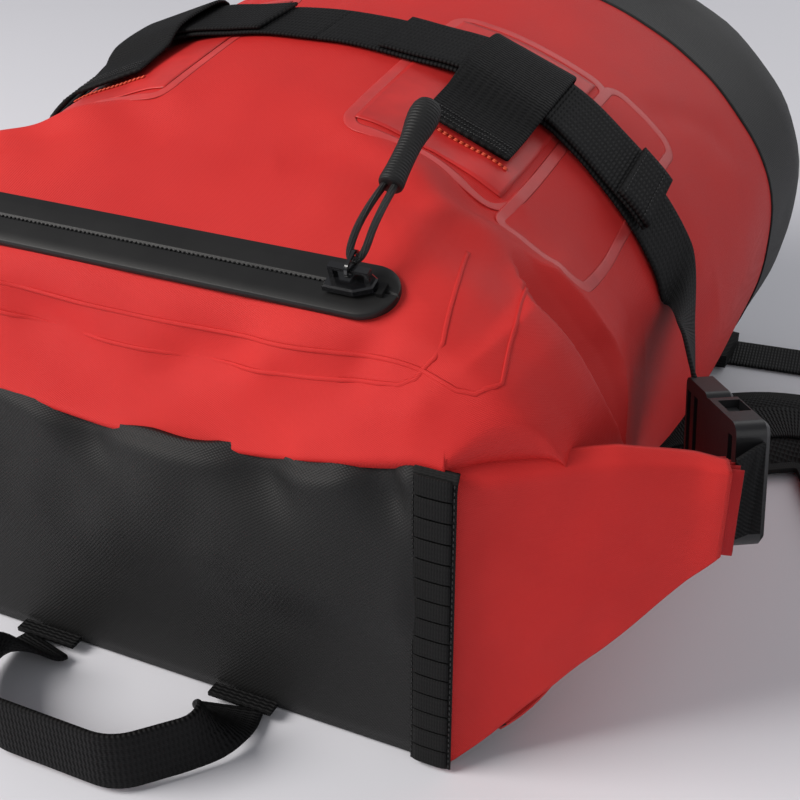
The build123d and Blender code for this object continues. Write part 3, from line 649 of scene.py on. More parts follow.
def solid(made, thickness, offset=-1.0):
    """Gives a sheet its thickness."""
    modifier = made.modifiers.new("thickness", "SOLIDIFY")
    modifier.thickness = thickness * MM
    modifier.offset = offset
    modifier.use_even_offset = False
    return made


def finish_piece(made, body, slot, *nodes):
    """Rides on a body and stands for CAD nodes. The slot is not used."""
    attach(made, body)
    if nodes:
        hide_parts(*nodes)
    return made


def distance_along(line):
    """How far along a line each of its points is."""
    return np.concatenate([[0], np.cumsum(np.linalg.norm(np.diff(line, axis=0), axis=1))])


print("mesh helpers ready")

# %% [markdown]
# ## Red body
#
# Front and sides are one sheet of red fabric from the rolled mouth to the black foot. Near the
# mouth the sheet is cut back along the flat corners of the roll, and its rim turns down behind
# the fold. The seam with the back runs low on each side, out of sight.

# %% Red body panel
WALL_HALF = 108.0
WALL_Y = -176.5
WING_X = 109.6
WING_END = (181.5, -136.0)
WING_SLOPE = (WING_END[1] - WALL_Y) / (WING_END[0] - WING_X)
FOLD_HEIGHTS = np.array([(0, 97), (63, 103), (108, 112), (154, 115), (183, 109), (200, 108)], float)


def behind_wing(x):
    """The y just behind the mouth's flat corner."""
    return np.where(np.abs(x) > WING_X, WALL_Y + (np.abs(x) - WING_X) * WING_SLOPE + 2.9, RIM_Y)


def rim_y(u):
    """Where the sheet starts, for each u."""
    y = np.full(u.shape, RIM_Y)
    for _ in range(12):
        y = np.maximum(behind_wing(hull(u, y)[..., 0]), RIM_Y)
    return y


def red_body_points():
    """Grid of points of the red sheet, rim first."""
    crown, shoulder, flank = np.linspace(0, 1, 30), np.linspace(1, 2, 84), np.linspace(2, 2.72, 18)
    quarter = np.concatenate([crown[:-1], shoulder[:-1], flank])
    u = np.concatenate([-quarter[:0:-1], quarter])
    start = rim_y(u)
    shares = np.concatenate([np.linspace(0, 0.42, 110)[:-1], np.linspace(0.42, 1, 64)])
    y = start[None, :] + (BORDER_Y - start)[None, :] * shares[:, None]
    points = skin(np.broadcast_to(u, y.shape), y)
    first = points[0]
    fold = np.interp(np.abs(first[:, 0]), FOLD_HEIGHTS[:, 0], FOLD_HEIGHTS[:, 1]) - 6
    drop = np.where(np.abs(u) < 2, np.minimum(fold - first[:, 2], 0), 0)
    tuck = []
    for share in (1.0, 0.8, 0.55, 0.3, 0.12):
        row = first.copy()
        row[:, 2] += drop * share
        row[:, 1] += (9.0 * share**2 - 1.2 * math.sin(math.pi * share)) * (drop < 0)
        tuck.append(row)
    return np.concatenate([np.array(tuck), points])


grid = red_body_points()
red_body = link_mesh("red_body", grid.reshape(-1, 3), grid_faces(*grid.shape[:2]), red_fabric)
solid(red_body, 1.0)
finish_piece(red_body, "bag", "red_fabric", "front_panel", "side_panel_right", "side_panel_left")
print("red body faces:", len(red_body.data.polygons))

# %% [markdown]
# ## Black foot and back
#
# The foot is the same tube carried on in black fabric and closed at its end. The end is a fan
# of shrinking rings that bulge a little, as a packed base does.


# %% Foot and back panel
def foot_points():
    """Rings from the border to the end, then rings that close it."""
    u = np.linspace(-4, 4, 201)[:-1]
    ys = np.linspace(BORDER_Y - 1.5, FOOT_Y, 52)
    points = skin(*np.meshgrid(u, ys), 0.6)
    points[:, :, 2] = np.maximum(points[:, :, 2], 8.0)
    last = points[-1]
    centre = last.mean(axis=0)
    close = []
    for share in (0.94, 0.82, 0.66, 0.48, 0.3, 0.14, 0.04):
        ring = centre + (last - centre) * share
        ring[:, 1] = FOOT_Y + 2.5 * (1 - share**2)
        close.append(ring)
    return np.concatenate([points, np.array(close)])


grid = foot_points()
faces = grid_faces(*grid.shape[:2], closed=True)
faces.append(tuple((grid.shape[0] - 1) * grid.shape[1] + j for j in range(grid.shape[1])))
foot = link_mesh("black_foot", grid.reshape(-1, 3), faces, black_fabric)
solid(foot, 1.0)
finish_piece(foot, "bag", "black_fabric", "bottom_boot")


def back_points():
    """Grid under the bag, between the red sheet's lower edges."""
    u = np.linspace(2.70, 5.30, 60)
    u = np.where(u > 4, u - 8, u)
    points = hull(*np.meshgrid(u, np.linspace(-170.0, BORDER_Y, 40)))
    points[..., 1] = np.maximum(points[..., 1], behind_wing(points[..., 0]))
    return points


grid = back_points()
back = link_mesh("back_panel_skin", grid.reshape(-1, 3), grid_faces(*grid.shape[:2]), black_fabric)
solid(back, 1.0)
finish_piece(back, "bag", "black_fabric", "back_panel")
print("foot faces:", len(foot.data.polygons), "back faces:", len(back.data.polygons))

# %% [markdown]
# ## Rolled mouth
#
# The mouth is rolled towards the front and lies against it. From outside it is a low wall: a
# black panel in the middle and a red triangular corner on each side, both with a soft rounded
# top where the fabric turns over the roll.


# %% Black wall and red corners
def slab(name, front, depth, material):
    """A closed slab: a front grid, a copy of it set back by depth, and faces that join their edges."""
    rows, columns = front.shape[:2]
    back = front + np.array(depth, float)
    points = np.concatenate([front.reshape(-1, 3), back.reshape(-1, 3)])
    count = rows * columns
    faces = grid_faces(rows, columns)
    faces += [tuple(count + k for k in reversed(face)) for face in grid_faces(rows, columns)]
    ring = [(0, j) for j in range(columns)] + [(i, columns - 1) for i in range(1, rows)]
    ring += [(rows - 1, j) for j in range(columns - 2, -1, -1)] + [(i, 0) for i in range(rows - 2, 0, -1)]
    index = [i * columns + j for i, j in ring]
    for a, b in zip(index, index[1:] + index[:1]):
        faces.append((b, a, count + a, count + b))
    return outward(link_mesh(name, points, faces, material))


# x, width, height and depth of each dent below the wall's top
WALL_DENTS = ((88, 7, 13, 7.5), (47, 11, 11, 7.0), (-16, 10, 9, 6.0), (-66, 12, 12, 6.0))


def wall_front():
    """Front of the black wall: it leans and dents, and its top turns over."""
    xs = np.linspace(-WALL_HALF, WALL_HALF, 110)
    shares = np.linspace(0, 1, 56)
    x, s = np.meshgrid(xs, shares)
    top = np.interp(np.abs(x), FOLD_HEIGHTS[:, 0], FOLD_HEIGHTS[:, 1]) + 1.0
    top += 0.8 * np.sin(x / 13.0) + 0.7 * np.sin(x / 7.1 + 1.0)
    z = 0.8 + (top - 0.8) * s
    y = np.full(x.shape, WALL_Y)
    base = np.stack([x, y, z], -1)
    push = 3.6 * cloth_noise(base, 46.0, (0.6, 1, 1.1), 21.0)
    push = push + 1.4 * cloth_noise(base, 19.0, (1, 1, 0.7), 5.0)
    for dent, width, drop, depth in WALL_DENTS:
        across, down = (x - dent + 0.4 * (z - top)) / width, (z - top + drop * 0.6) / drop
        push += depth * np.exp(-(across**2) - down**2)
    # low down, where the haul handle swings up, the wall doesn't bulge outwards
    push = np.where(push > 3.6, push - 3.6, (push - 3.6) * smooth_step(z, 38, 64))
    y = y + push.clip(-9, 3.4) * smooth_step(WALL_HALF - np.abs(x), 0, 12)
    y += 4.5 * smooth_step(s, 0.93, 1.0) ** 1.5
    y += 1.5 * smooth_step(1 - s, 0.94, 1.0)
    return np.stack([x, y, z], -1)


wall = slab("mouth_wall", wall_front(), (0, 1.8, 0), black_fabric)
finish_piece(wall, "bag", "black_fabric", "collar_wall")


def wing_front(side):
    """Front of one red corner, from the wall's edge to the roll's end."""
    ss, hs = np.linspace(0, 1, 56), np.linspace(0, 1, 50)
    s, h = np.meshgrid(ss, hs)
    x = WING_X + (WING_END[0] + 1.0 - WING_X) * s
    y = WALL_Y + (x - WING_X) * WING_SLOPE
    low = np.where(s < 0.06, 1.0, 1.0 + 77.0 * np.clip((s - 0.06) / 0.94, 0, 1) ** 1.06)
    top = np.interp(x, FOLD_HEIGHTS[:, 0], FOLD_HEIGHTS[:, 1])
    z = low + (top - low) * h
    base = np.stack([x, y, z], -1)
    push = 2.0 * cloth_noise(base, 36.0, (1, 1, 0.8), 31.0) + 0.8 * cloth_noise(base, 15.0, (1, 1, 1), 7.0)
    edge = np.minimum(smooth_step(s, 0, 0.15), smooth_step(1 - s, 0, 0.12))
    push = (push - 1.0) * edge
    normal = np.array([math.sin(math.atan(WING_SLOPE)), -math.cos(math.atan(WING_SLOPE)), 0.0])
    moved = base + normal * push[..., None]
    moved -= normal * (4.0 * smooth_step(h, 0.93, 1.0) ** 1.5)[..., None]
    moved[..., 0] *= side
    return moved


for word, side in SIDES:
    lean = math.atan(WING_SLOPE)
    inward = np.array([-math.sin(lean) * side, math.cos(lean), 0.0]) * 1.6
    wing = slab(f"mouth_corner_{word}", wing_front(side), inward, red_fabric)
    finish_piece(wing, "bag", "red_fabric", f"collar_wing_{word}")
print("wall faces:", len(wall.data.polygons))

# %% [markdown]
# ## Layers of the roll
#
# Behind the wall the fabric is wound over a flat stiffener. At each end the cut layers show as
# thin red leaves, one behind another and none quite the same length.

# %% Roll layers
ROLL_END = WING_END[0]
ROLL_LINE = np.array([
    (-ROLL_END, -128.5, 92), (-WALL_HALF, -169, 95), (0, -169, 80), (WALL_HALF, -169, 95),
    (ROLL_END, -128.5, 92),
], float)
LEAF_REACHES = (3.6, 2.0, 0.8, -1.2, -3.0)
LEAF_SECTION = [
    (-0.7, -14.6), (-0.7, 0), (-0.7, 14.6), (0, 15.2), (0.7, 14.6), (0.7, 0), (0.7, -14.6), (0, -15.2),
]


def roll_layers():
    """Five leaves stacked across the roll's thickness."""
    points, faces = [], []
    for k, reach in enumerate(LEAF_REACHES):
        xs = np.linspace(-ROLL_END - reach, ROLL_END + reach, 61)
        ys = np.interp(xs, ROLL_LINE[:, 0], ROLL_LINE[:, 1]) + (-3.8 + 1.9 * k)
        ys = ys + 7 * (1 - smooth_step(np.abs(xs), 100, 132))
        zs = np.interp(xs, ROLL_LINE[:, 0], ROLL_LINE[:, 2])
        faces += tube_faces(len(xs), len(LEAF_SECTION), start=len(points))
        for x, y, z in zip(xs, ys, zs):
            wave = 0.5 * math.sin(x / 9.0 + k) + 0.3 * math.sin(x / 3.7 + 2 * k)
            points += [(x, y + dy + wave * (abs(dz) / 15.2), z + dz) for dy, dz in LEAF_SECTION]
    return outward(link_mesh("roll_layers", points, faces, red_edge))


roll = finish_piece(roll_layers(), "bag", "red_edge", "roll_core")
print("roll faces:", len(roll.data.polygons))

# %% [markdown]
# ## Straps
#
# Every strap is the same thing: a flat woven band with soft edges that follows a line of rows.
# A row is the band's two edge points and the direction it faces. The band gets its UV map in
# millimetres here, so the ribs keep one pitch on every strap.


# %% Band helper
def fine_rows(rows, gap):
    """Rows at even steps along a smooth line through the given rows: left edge, right edge, facing."""
    rows = np.asarray(rows, float)
    run = distance_along((rows[:, 0] + rows[:, 1]) / 2)
    table = np.concatenate([run[:, None], rows.reshape(len(rows), 9)], axis=1)
    steps = max(2, int(run[-1] / gap) + 1)
    places = np.linspace(0, run[-1], steps)
    return places, through(places, table).reshape(steps, 3, 3)


def band(name, rows, thickness, material, gap=2.5):
    """A woven band: closed, soft-edged, with a UV map in millimetres."""
    places, rows = fine_rows(rows, gap)
    shares = np.array([-1, -0.985, -0.94, -0.8, -0.5, 0, 0.5, 0.8, 0.94, 0.985, 1])
    depth = thickness / 2 * np.array([0.25, 0.7, 1, 1, 1, 1, 1, 1, 1, 0.7, 0.25])
    points, across = [], []
    for left, right, facing in rows:
        facing = facing / np.linalg.norm(facing)
        middle, half = (left + right) / 2, (right - left) / 2
        width = np.linalg.norm(half)
        upper = [middle + half * s + facing * (thickness / 2 + d) for s, d in zip(shares, depth)]
        lower = [middle + half * s + facing * (thickness / 2 - d) for s, d in zip(shares, depth)]
        points += upper + lower[::-1]
        across += list(shares * width) + list(shares[::-1] * width)
    ring = 2 * len(shares)
    made = link_mesh(name, points, tube_faces(len(rows), ring), material)
    layer = made.data.uv_layers.new(name="strap")
    for loop in made.data.loops:
        layer.data[loop.index].uv = (across[loop.vertex_index], places[loop.vertex_index // ring])
    return outward(made)


def laid(xs, y0, y1, stand):
    """Rows of a band that lies across the bag above xs, between y0 and y1."""
    xs = np.asarray(xs, float)
    low, middle, high = (np.full(xs.shape, y) for y in (y0, (y0 + y1) / 2, y1))
    lift = over(xs, middle, np.asarray(stand) + 1) - over(xs, middle, stand)
    return np.stack([over(xs, low, stand), over(xs, high, stand), lift], axis=1)


print("band helper ready")

# %% [markdown]
# ## Compression strap
#
# One strap crosses the bag, passes through a sewn loop on each side of the front and runs down
# to a side-release buckle. Its loose tail lies on top of it and ends in a folded, sewn stop.
# Each half, from the middle to one buckle, is its own piece, blended from the bag to the plug.

# %% Compression strap and tails
WEB = 1.5
STRAP_Y0, STRAP_Y1 = -39.0, -9.0
BUCKLE_ALONG = np.array([-0.512828, 0.834603, -0.201109])
BUCKLE_OUT = np.array([0.852011, 0.523525, 0.0])
BUCKLE_UP = -np.cross(BUCKLE_ALONG, BUCKLE_OUT)
BUCKLE_HEEL = np.array([186.0, -119.5, 94.0])
SOCKET_LENGTH, PLUG_LENGTH = 29.0, 21.0
PLUG_END = BUCKLE_HEEL + BUCKLE_ALONG * SOCKET_LENGTH + BUCKLE_ALONG * PLUG_LENGTH
LOOP_X = 70.0


def strap_stand(x):
    """The strap lies close to the bag, and rises where it goes through the loop."""
    return 1.0 + 2.0 * np.exp(-(((np.abs(x) - LOOP_X) / 26.0) ** 4))


def tail_stand(x, layers, gap):
    """A loose tail lies on this many layers of webbing, and its end lifts off the bag."""
    return strap_stand(x) + layers * WEB + gap + 1.6 * smooth_step(np.abs(x), 100, 122) ** 2


def strap_half(side):
    """Rows from the middle of the bag to one plug."""
    xs = np.concatenate([np.linspace(0, 120, 26), [126, 131, 135]]) * side
    rows = list(laid(xs, STRAP_Y0, STRAP_Y1, strap_stand(xs)))
    flip = np.array([side, 1, 1])
    lead = [
        ((147, -62, 112), (146, -36, 98), (1, 0.1, 0.35)),
        ((157, -79, 104), (152, -54, 86), (1, 0.35, 0.1)),
        ((163.5, -83.5, 97), (158.5, -68, 73), (0.9, 0.45, 0.0)),
    ]
    rows += [np.array([np.array(a) * flip, np.array(b) * flip, np.array(c) * flip]) for a, b, c in lead]
    for out in (6.0, -14.0):
        middle = PLUG_END + BUCKLE_ALONG * out + BUCKLE_OUT * (1.5 if out > 0 else 4.6)
        a, b = middle + BUCKLE_UP * 15, middle - BUCKLE_UP * 15
        rows.append(np.array([a * flip, b * flip, BUCKLE_OUT * flip]))
    return rows


for word, side in SIDES:
    strap = band(f"compression_strap_{word}", strap_half(side), WEB, webbing)
    start = np.array([132.0 * side, -24.0, 116.0]) * MM
    end = (PLUG_END * np.array([side, 1, 1])) * MM
    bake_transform(strap)
    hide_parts("compression_strap")
    xs = np.linspace(24, 122, 22) * side
    rows = laid(xs, STRAP_Y0 + 0.5, STRAP_Y1 + 0.5, tail_stand(xs, 1, 0.3))
    tail = band(f"strap_tail_{word}_band", rows, WEB, webbing)
    finish_piece(tail, "bag", "webbing", f"strap_tail_{word}")
    xs = np.linspace(112, 122, 6) * side
    rows = laid(xs, STRAP_Y0 + 0.6, STRAP_Y1 + 0.4, tail_stand(xs, 2, 0.4))
    stop = band(f"strap_tail_{word}_stop", rows, 2.0, webbing)
    finish_piece(stop, "bag", "webbing")
print("strap halves: 2, tails: 2")

# %% [markdown]
# ## Loops and their welded patches
#
# Each loop is a short piece of webbing folded round the strap. It is bar-tacked to a patch of
# film that is welded to the bag with a raised frame round it.


# %% Loops and patches
def loop_rows(side):
    """Rows of the loop from its sewn end over the strap, round the fold and back under."""
    x0, x1 = (LOOP_X - 15) * side, (LOOP_X + 15) * side
    stops = [
        (-70.0, 2.5, 0), (-60.0, 2.7, 0), (-50.0, 3.6, 0), (-43.0, 6.2, 0), (-37.0, 7.6, 0), (-24.0, 8.0, 0),
        (-12.0, 7.7, 0), (-7.6, 6.6, 1), (-6.2, 4.4, 2), (-7.4, 2.4, 3), (-12.0, 1.2, 4), (-30, 1.0, 4),
    ]
    rows = []
    for y, stand, turn in stops:
        a, b = over(x0, y, stand), over(x1, y, stand)
        up = over((x0 + x1) / 2, y, stand + 1) - over((x0 + x1) / 2, y, stand)
        angle = turn * math.pi / 4
        facing = up * math.cos(angle) + np.array([0, 1.0, 0]) * math.sin(angle)
        rows.append(np.array([a, b, facing]))
    return rows


def rounded_frame(x0, x1, y0, y1, radius, count=7):
    """Points round a rectangle with round corners."""
    left, right, low, high = x0 + radius, x1 - radius, y0 + radius, y1 - radius
    points = []
    for cx, cy, start in ((right, high, 0), (left, high, 90), (left, low, 180), (right, low, 270)):
        for k in range(count):
            angle = math.radians(start + 90 * k / (count - 1))
            points.append((cx + radius * math.cos(angle), cy + radius * math.sin(angle)))
    return points


def densify(points, gap, closed=True):
    """More points along a plane line."""
    points = np.asarray(points, float)
    ends = np.roll(points, -1, axis=0) if closed else points[1:]
    out = []
    for a, b in zip(points, ends):
        steps = max(1, int(np.linalg.norm(b - a) / gap))
        out += [a + (b - a) * k / steps for k in range(steps)]
    if not closed:
        out.append(points[-1])
    return np.array(out)


def weld_line(name, plan, width, height, material, closed=True, side=1):
    """A low rounded ridge laid on the bag along a plane line of x and y."""
    plan = densify(plan, 2.0, closed)
    plan[:, 0] *= side
    middle = over(plan[:, 0], plan[:, 1])
    out = over(plan[:, 0], plan[:, 1], 1.0) - middle
    ahead = np.roll(middle, -1, axis=0) - np.roll(middle, 1, axis=0)
    if not closed:
        ahead[0], ahead[-1] = middle[1] - middle[0], middle[-1] - middle[-2]
    cross = np.cross(out, ahead)
    cross /= np.linalg.norm(cross, axis=1, keepdims=True)
    profile = [(-0.5, -0.4), (-0.40, 0.5), (-0.25, 0.95), (0.25, 0.95), (0.40, 0.5), (0.5, -0.4)]
    rows = [middle + cross * (offset * width) + out * (0.1 + rise * height) for offset, rise in profile]
    grid = np.stack(rows, axis=1)
    count = len(profile)
    if closed:
        last = (len(plan) - 1) * count
        faces = grid_faces(len(plan), count, closed=True)
        faces += [(last + j, last + (j + 1) % count, (j + 1) % count, j) for j in range(count)]
    else:
        faces = tube_faces(len(plan), count)
    return outward(link_mesh(name, grid.reshape(-1, 3), faces, material))


def film_patch(name, x0, x1, y0, y1, side, material):
    """A thin sheet of film on the bag."""
    xs, ys = np.linspace(x0, x1, 36) * side, np.linspace(y0, y1, 50)
    x, y = np.meshgrid(xs, ys)
    grid = over(x, y, 0.35)
    made = link_mesh(name, grid.reshape(-1, 3), grid_faces(*grid.shape[:2]), material)
    return solid(made, 0.3, 0.0)


# x from and to, y from and to, corner radius and width of each welded frame
PATCH_FRAMES = ((35, 94, -88, 14, 7, 4.4), (46, 86, -80, 5, 4, 2.8), (94, 120, -96, 18, 6, 4.4))


for word, side in SIDES:
    loop = band(f"strap_loop_{word}_band", loop_rows(side), WEB, webbing, gap=2.0)
    finish_piece(loop, "bag", "webbing", f"strap_loop_{word}")
    patch = film_patch(f"loop_patch_{word}_film", 37, 90, -83, 10, side, weld_film)
    finish_piece(patch, "bag", "weld_film", f"loop_patch_{word}")
    for k, (x0, x1, y0, y1, radius, width) in enumerate(PATCH_FRAMES):
        outline = rounded_frame(x0, x1, y0, y1, radius)
        frame_line = weld_line(f"patch_frame_{word}_{k}", outline, width, 0.14, weld_ridge, side=side)
        finish_piece(frame_line, "bag", "weld_film")
print("loops: 2, patches: 2")

# %% [markdown]
# ## Pocket weld and zip
#
# The pocket on the front is welded on with a double line, and a sealed zip is set into it: a
# band of urethane tape with round ends, with the coil showing as fine teeth down a slot in its
# middle.

# %% Pocket weld lines
for k, (right, low) in enumerate(((118.0, -166.6), (101.0, -168.6))):
    corner = [(right + 2, -161), (right - 0.5, -150), (right - 2.6, -139), (right - 6, -124)]
    plan = [(-x, y) for x, y in reversed(corner)] + [(-right - 1, low + 4), (-right + 3, low + 1)]
    plan += [(x, low) for x in np.linspace(-right + 8, right - 8, 24)]
    plan += [(right - 3, low + 1), (right + 1, low + 4)] + corner
    line = weld_line(f"pocket_weld_{k}", plan, 1.5, 0.25, red_fabric, closed=False)
    finish_piece(line, "bag", "red_fabric")

ZIP_SLOPE = math.radians(20.0)
ZIP_ORIGIN = np.array([0, -154.0, 151.6])
ZIP_UP = np.array([0, math.cos(ZIP_SLOPE), math.sin(ZIP_SLOPE)])
ZIP_OUT = np.array([0, -math.sin(ZIP_SLOPE), math.cos(ZIP_SLOPE)])
ZIP_HALF = 86.0
TAPE_HALF = 10.5


def zip_tape_mesh():
    """Tape with round ends: two raised lips beside a narrow slot."""
    offsets = [-1.0, -0.985, -0.95, -0.6, -0.12, -0.07, -0.06, 0.06, 0.07, 0.12, 0.6, 0.95, 0.985, 1.0]
    heights = [-1.6, 0.35, 0.62, 0.70, 0.80, 0.74, 0.35, 0.35, 0.74, 0.80, 0.70, 0.62, 0.35, -1.6]
    straight = ZIP_HALF - TAPE_HALF
    cap = -ZIP_HALF + TAPE_HALF * (1 - np.cos(np.linspace(0.05, math.pi / 2, 14)))
    xs = np.concatenate([cap, np.linspace(-straight + 2, straight - 2, 90), -cap[::-1]])
    points = []
    for x in xs:
        half = math.sqrt(max(TAPE_HALF**2 - max(0.0, abs(x) - straight) ** 2, 0.3))
        place = ZIP_ORIGIN + np.array([x, 0, 0])
        points += [place + ZIP_UP * (o * half) + ZIP_OUT * h for o, h in zip(offsets, heights)]
        points += [place + ZIP_UP * (0.9 * half * way) - ZIP_OUT * 2.0 for way in (1, -1)]
    faces = tube_faces(len(xs), len(offsets) + 2)
    return outward(link_mesh("zip_tape_band", points, faces, zip_urethane))


finish_piece(zip_tape_mesh(), "bag", "zip_urethane", "zip_tape")
print("zip tape:", round(2 * ZIP_HALF), "mm long")

# %% [markdown]
# ## Things that repeat along a line
#
# Teeth, stitches and rungs are one small shape set at an even pitch along a line. One Geometry
# Nodes tree makes them all: it takes the line, its pitch and the bead's sizes, places a bead at
# each step turned along the line, and makes them real.


# %% Geometry Nodes tree for beads along a line
def bead_tree():
    tree = bpy.data.node_groups.new("beads_along_line", "GeometryNodeTree")
    side = tree.interface
    side.new_socket("Geometry", in_out="INPUT", socket_type="NodeSocketGeometry")
    for name, value in (("Pitch", 0.002), ("Length", 0.001), ("Width", 0.0005), ("Height", 0.0004)):
        side.new_socket(name, in_out="INPUT", socket_type="NodeSocketFloat").default_value = value
    side.new_socket("Material", in_out="INPUT", socket_type="NodeSocketMaterial")
    side.new_socket("Geometry", in_out="OUTPUT", socket_type="NodeSocketGeometry")
    make, link = tree.nodes.new, tree.links.new
    given, result = make("NodeGroupInput"), make("NodeGroupOutput")
    curve, even = make("GeometryNodeMeshToCurve"), make("GeometryNodeResampleCurve")
    even.mode = "LENGTH"
    bead, scale = make("GeometryNodeMeshIcoSphere"), make("ShaderNodeCombineXYZ")
    bead.inputs["Radius"].default_value = 0.5
    bead.inputs["Subdivisions"].default_value = 1
    tangent, turn = make("GeometryNodeInputTangent"), make("FunctionNodeAlignEulerToVector")
    turn.axis = "X"
    spread, real = make("GeometryNodeInstanceOnPoints"), make("GeometryNodeRealizeInstances")
    smooth, paint = make("GeometryNodeSetShadeSmooth"), make("GeometryNodeSetMaterial")
    link(given.outputs["Geometry"], curve.inputs["Mesh"])
    link(curve.outputs[0], even.inputs["Curve"])
    link(given.outputs["Pitch"], even.inputs["Length"])
    link(even.outputs[0], spread.inputs["Points"])
    link(bead.outputs["Mesh"], spread.inputs["Instance"])
    link(tangent.outputs[0], turn.inputs["Vector"])
    link(turn.outputs[0], spread.inputs["Rotation"])
    for k, name in enumerate(("Length", "Width", "Height")):
        link(given.outputs[name], scale.inputs[k])
    link(scale.outputs[0], spread.inputs["Scale"])
    link(spread.outputs[0], real.inputs[0])
    link(real.outputs[0], smooth.inputs[0])
    link(smooth.outputs[0], paint.inputs["Geometry"])
    link(given.outputs["Material"], paint.inputs["Material"])
    link(paint.outputs[0], result.inputs[0])
    return tree


BEADS = bead_tree()


def beads(name, lines, pitch, size, material, body, slot):
    """A bead at every pitch along each line; size is length, width and height, in millimetres."""
    data = bpy.data.meshes.new(name)
    points, edges = [], []
    for line in lines:
        start = len(points)
        points += [tuple(np.asarray(p, float) * MM) for p in line]
        edges += [(start + k, start + k + 1) for k in range(len(line) - 1)]
    data.from_pydata(points, edges, [])
    holder = bpy.data.objects.new(name + "_line", data)
    bpy.context.collection.objects.link(holder)
    modifier = holder.modifiers.new("beads", "NODES")
    modifier.node_group = BEADS
    sockets = {s.name: s.identifier for s in BEADS.interface.items_tree if s.in_out == "INPUT"}
    for key, value in zip(("Pitch", "Length", "Width", "Height"), (pitch, *size)):
        modifier[sockets[key]] = value * MM
    modifier[sockets["Material"]] = material
    view = bpy.context.evaluated_depsgraph_get()
    mesh = bpy.data.meshes.new_from_object(holder.evaluated_get(view))
    mesh.name = name
    bpy.data.objects.remove(holder)
    made = bpy.data.objects.new(name, mesh)
    bpy.context.collection.objects.link(made)
    return finish_piece(made, body, slot)


zip_line = [ZIP_ORIGIN + np.array([x, 0, 0]) + ZIP_OUT * 0.5 for x in (-80, 80)]
coil = beads("zip_teeth", [zip_line], 1.6, (1.0, 1.3, 0.7), zip_plastic, "bag", "zip_plastic")
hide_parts("zip_coil")
print("zip teeth faces:", len(coil.data.polygons))

# %% [markdown]
# ## Stitches
#
# Bar tacks in black thread hold the loops, and a row of red thread shows along the loop's sewn
# edge. The folded stops of the tails are stitched in black.

# %% Bar tacks and seams
for word, side in SIDES:
    lines = []
    for y in (-68.5, -66.3, -64.1):
        xs = np.linspace(LOOP_X - 13, LOOP_X + 13, 8) * side
        lines.append(over(xs, np.full(xs.shape, y), 4.2))
    beads(f"bar_tack_{word}", lines, 1.1, (1.0, 0.6, 0.4), black_thread, "bag", "webbing")
    xs = np.linspace(LOOP_X - 15.5, LOOP_X + 15.5, 10) * side
    edge = [over(xs, np.full(xs.shape, y), 0.9) for y in (-70.7, -71.5)]
    beads(f"edge_tack_{word}", edge, 2.1, (2.0, 0.8, 0.7), red_thread, "bag", "weld_film")
    lines = []
    for x in (113.2, 119.6):
        ys = np.linspace(STRAP_Y0 + 2, STRAP_Y1 - 2, 6)
        xs = np.full(ys.shape, x * side)
        lines.append(over(xs, ys, tail_stand(xs, 2, 2.45)))
    beads(f"stop_stitch_{word}", lines, 2.0, (1.5, 0.5, 0.4), black_thread, "bag", "webbing")
print("stitched")

# %% [markdown]
# ## Ladder ribbons
#
# A ribbon is sewn over each seam of the mouth, with short rungs across it that a cord or a clip
# can pass under. The rungs lift a little between their stitches.


# %% Ladder ribbons
def ribbon_rows(x, width, z0, z1, out):
    """Rows of an upright ribbon in front of the wall."""
    rows = []
    for z in np.linspace(z0, z1, 30):
        y = WALL_Y - out + 2.2 * smooth_step(z, z1 - 5, z1 + 1)
        rows.append(np.array([(x - width / 2, y, z), (x + width / 2, y, z), (0, -1, 0)]))
    return rows


for word, side in SIDES:
    x = WALL_HALF * side
    rows = ribbon_rows(x, 14.0, 1.2, 112.0, 0.2)
    base = band(f"ladder_ribbon_{word}_band", rows, 0.7, ribbon, gap=3.0)
    finish_piece(base, "bag", "ribbon", f"ladder_ribbon_{word}")
    for k, z in enumerate(np.arange(5.0, 108.0, 7.3)):
        rows = []
        for s in np.linspace(-1, 1, 9):
            y = WALL_Y - 1.1 - 0.5 * (1 - s**4)
            rows.append(np.array([(x + s * 5.8, y, z - 3.35), (x + s * 5.8, y, z + 3.35), (0, -1, 0)]))
        rung = band(f"ladder_rung_{word}_{k}", rows, 0.5, ribbon, gap=1.2)
        finish_piece(rung, "bag", "ribbon")
    lines = [[(x + e, WALL_Y - 1.15, 3.0), (x + e, WALL_Y - 1.15, 109.0)] for e in (-6.4, 6.4)]
    beads(f"ladder_stitch_{word}", lines, 2.2, (1.6, 0.5, 0.5), black_thread, "bag", "ribbon")
print("ladder ribbons: 2")

# %% [markdown]
# ## Puller grip
#
# The grip is moulded rubber, slim where the cord enters and full at its end. It could be cut
# from a cylinder, but a profile spun round its axis gives the same round shape from a short
# list of radii.


# %% Puller grip
def spun(name, profile, origin, axis, material, turns=32):
    """A shape turned round an axis: profile is a list of (radius, distance along the axis)."""
    axis = Vector(axis).normalized()
    side = axis.orthogonal().normalized()
    other = axis.cross(side)
    points = []
    for radius, reach in profile:
        for k in range(turns):
            angle = 2 * math.pi * k / turns
            around = side * math.cos(angle) + other * math.sin(angle)
            points.append(tuple(Vector(origin) / MM + axis * reach + around * radius))
    return outward(link_mesh(name, points, tube_faces(len(profile), turns), material))


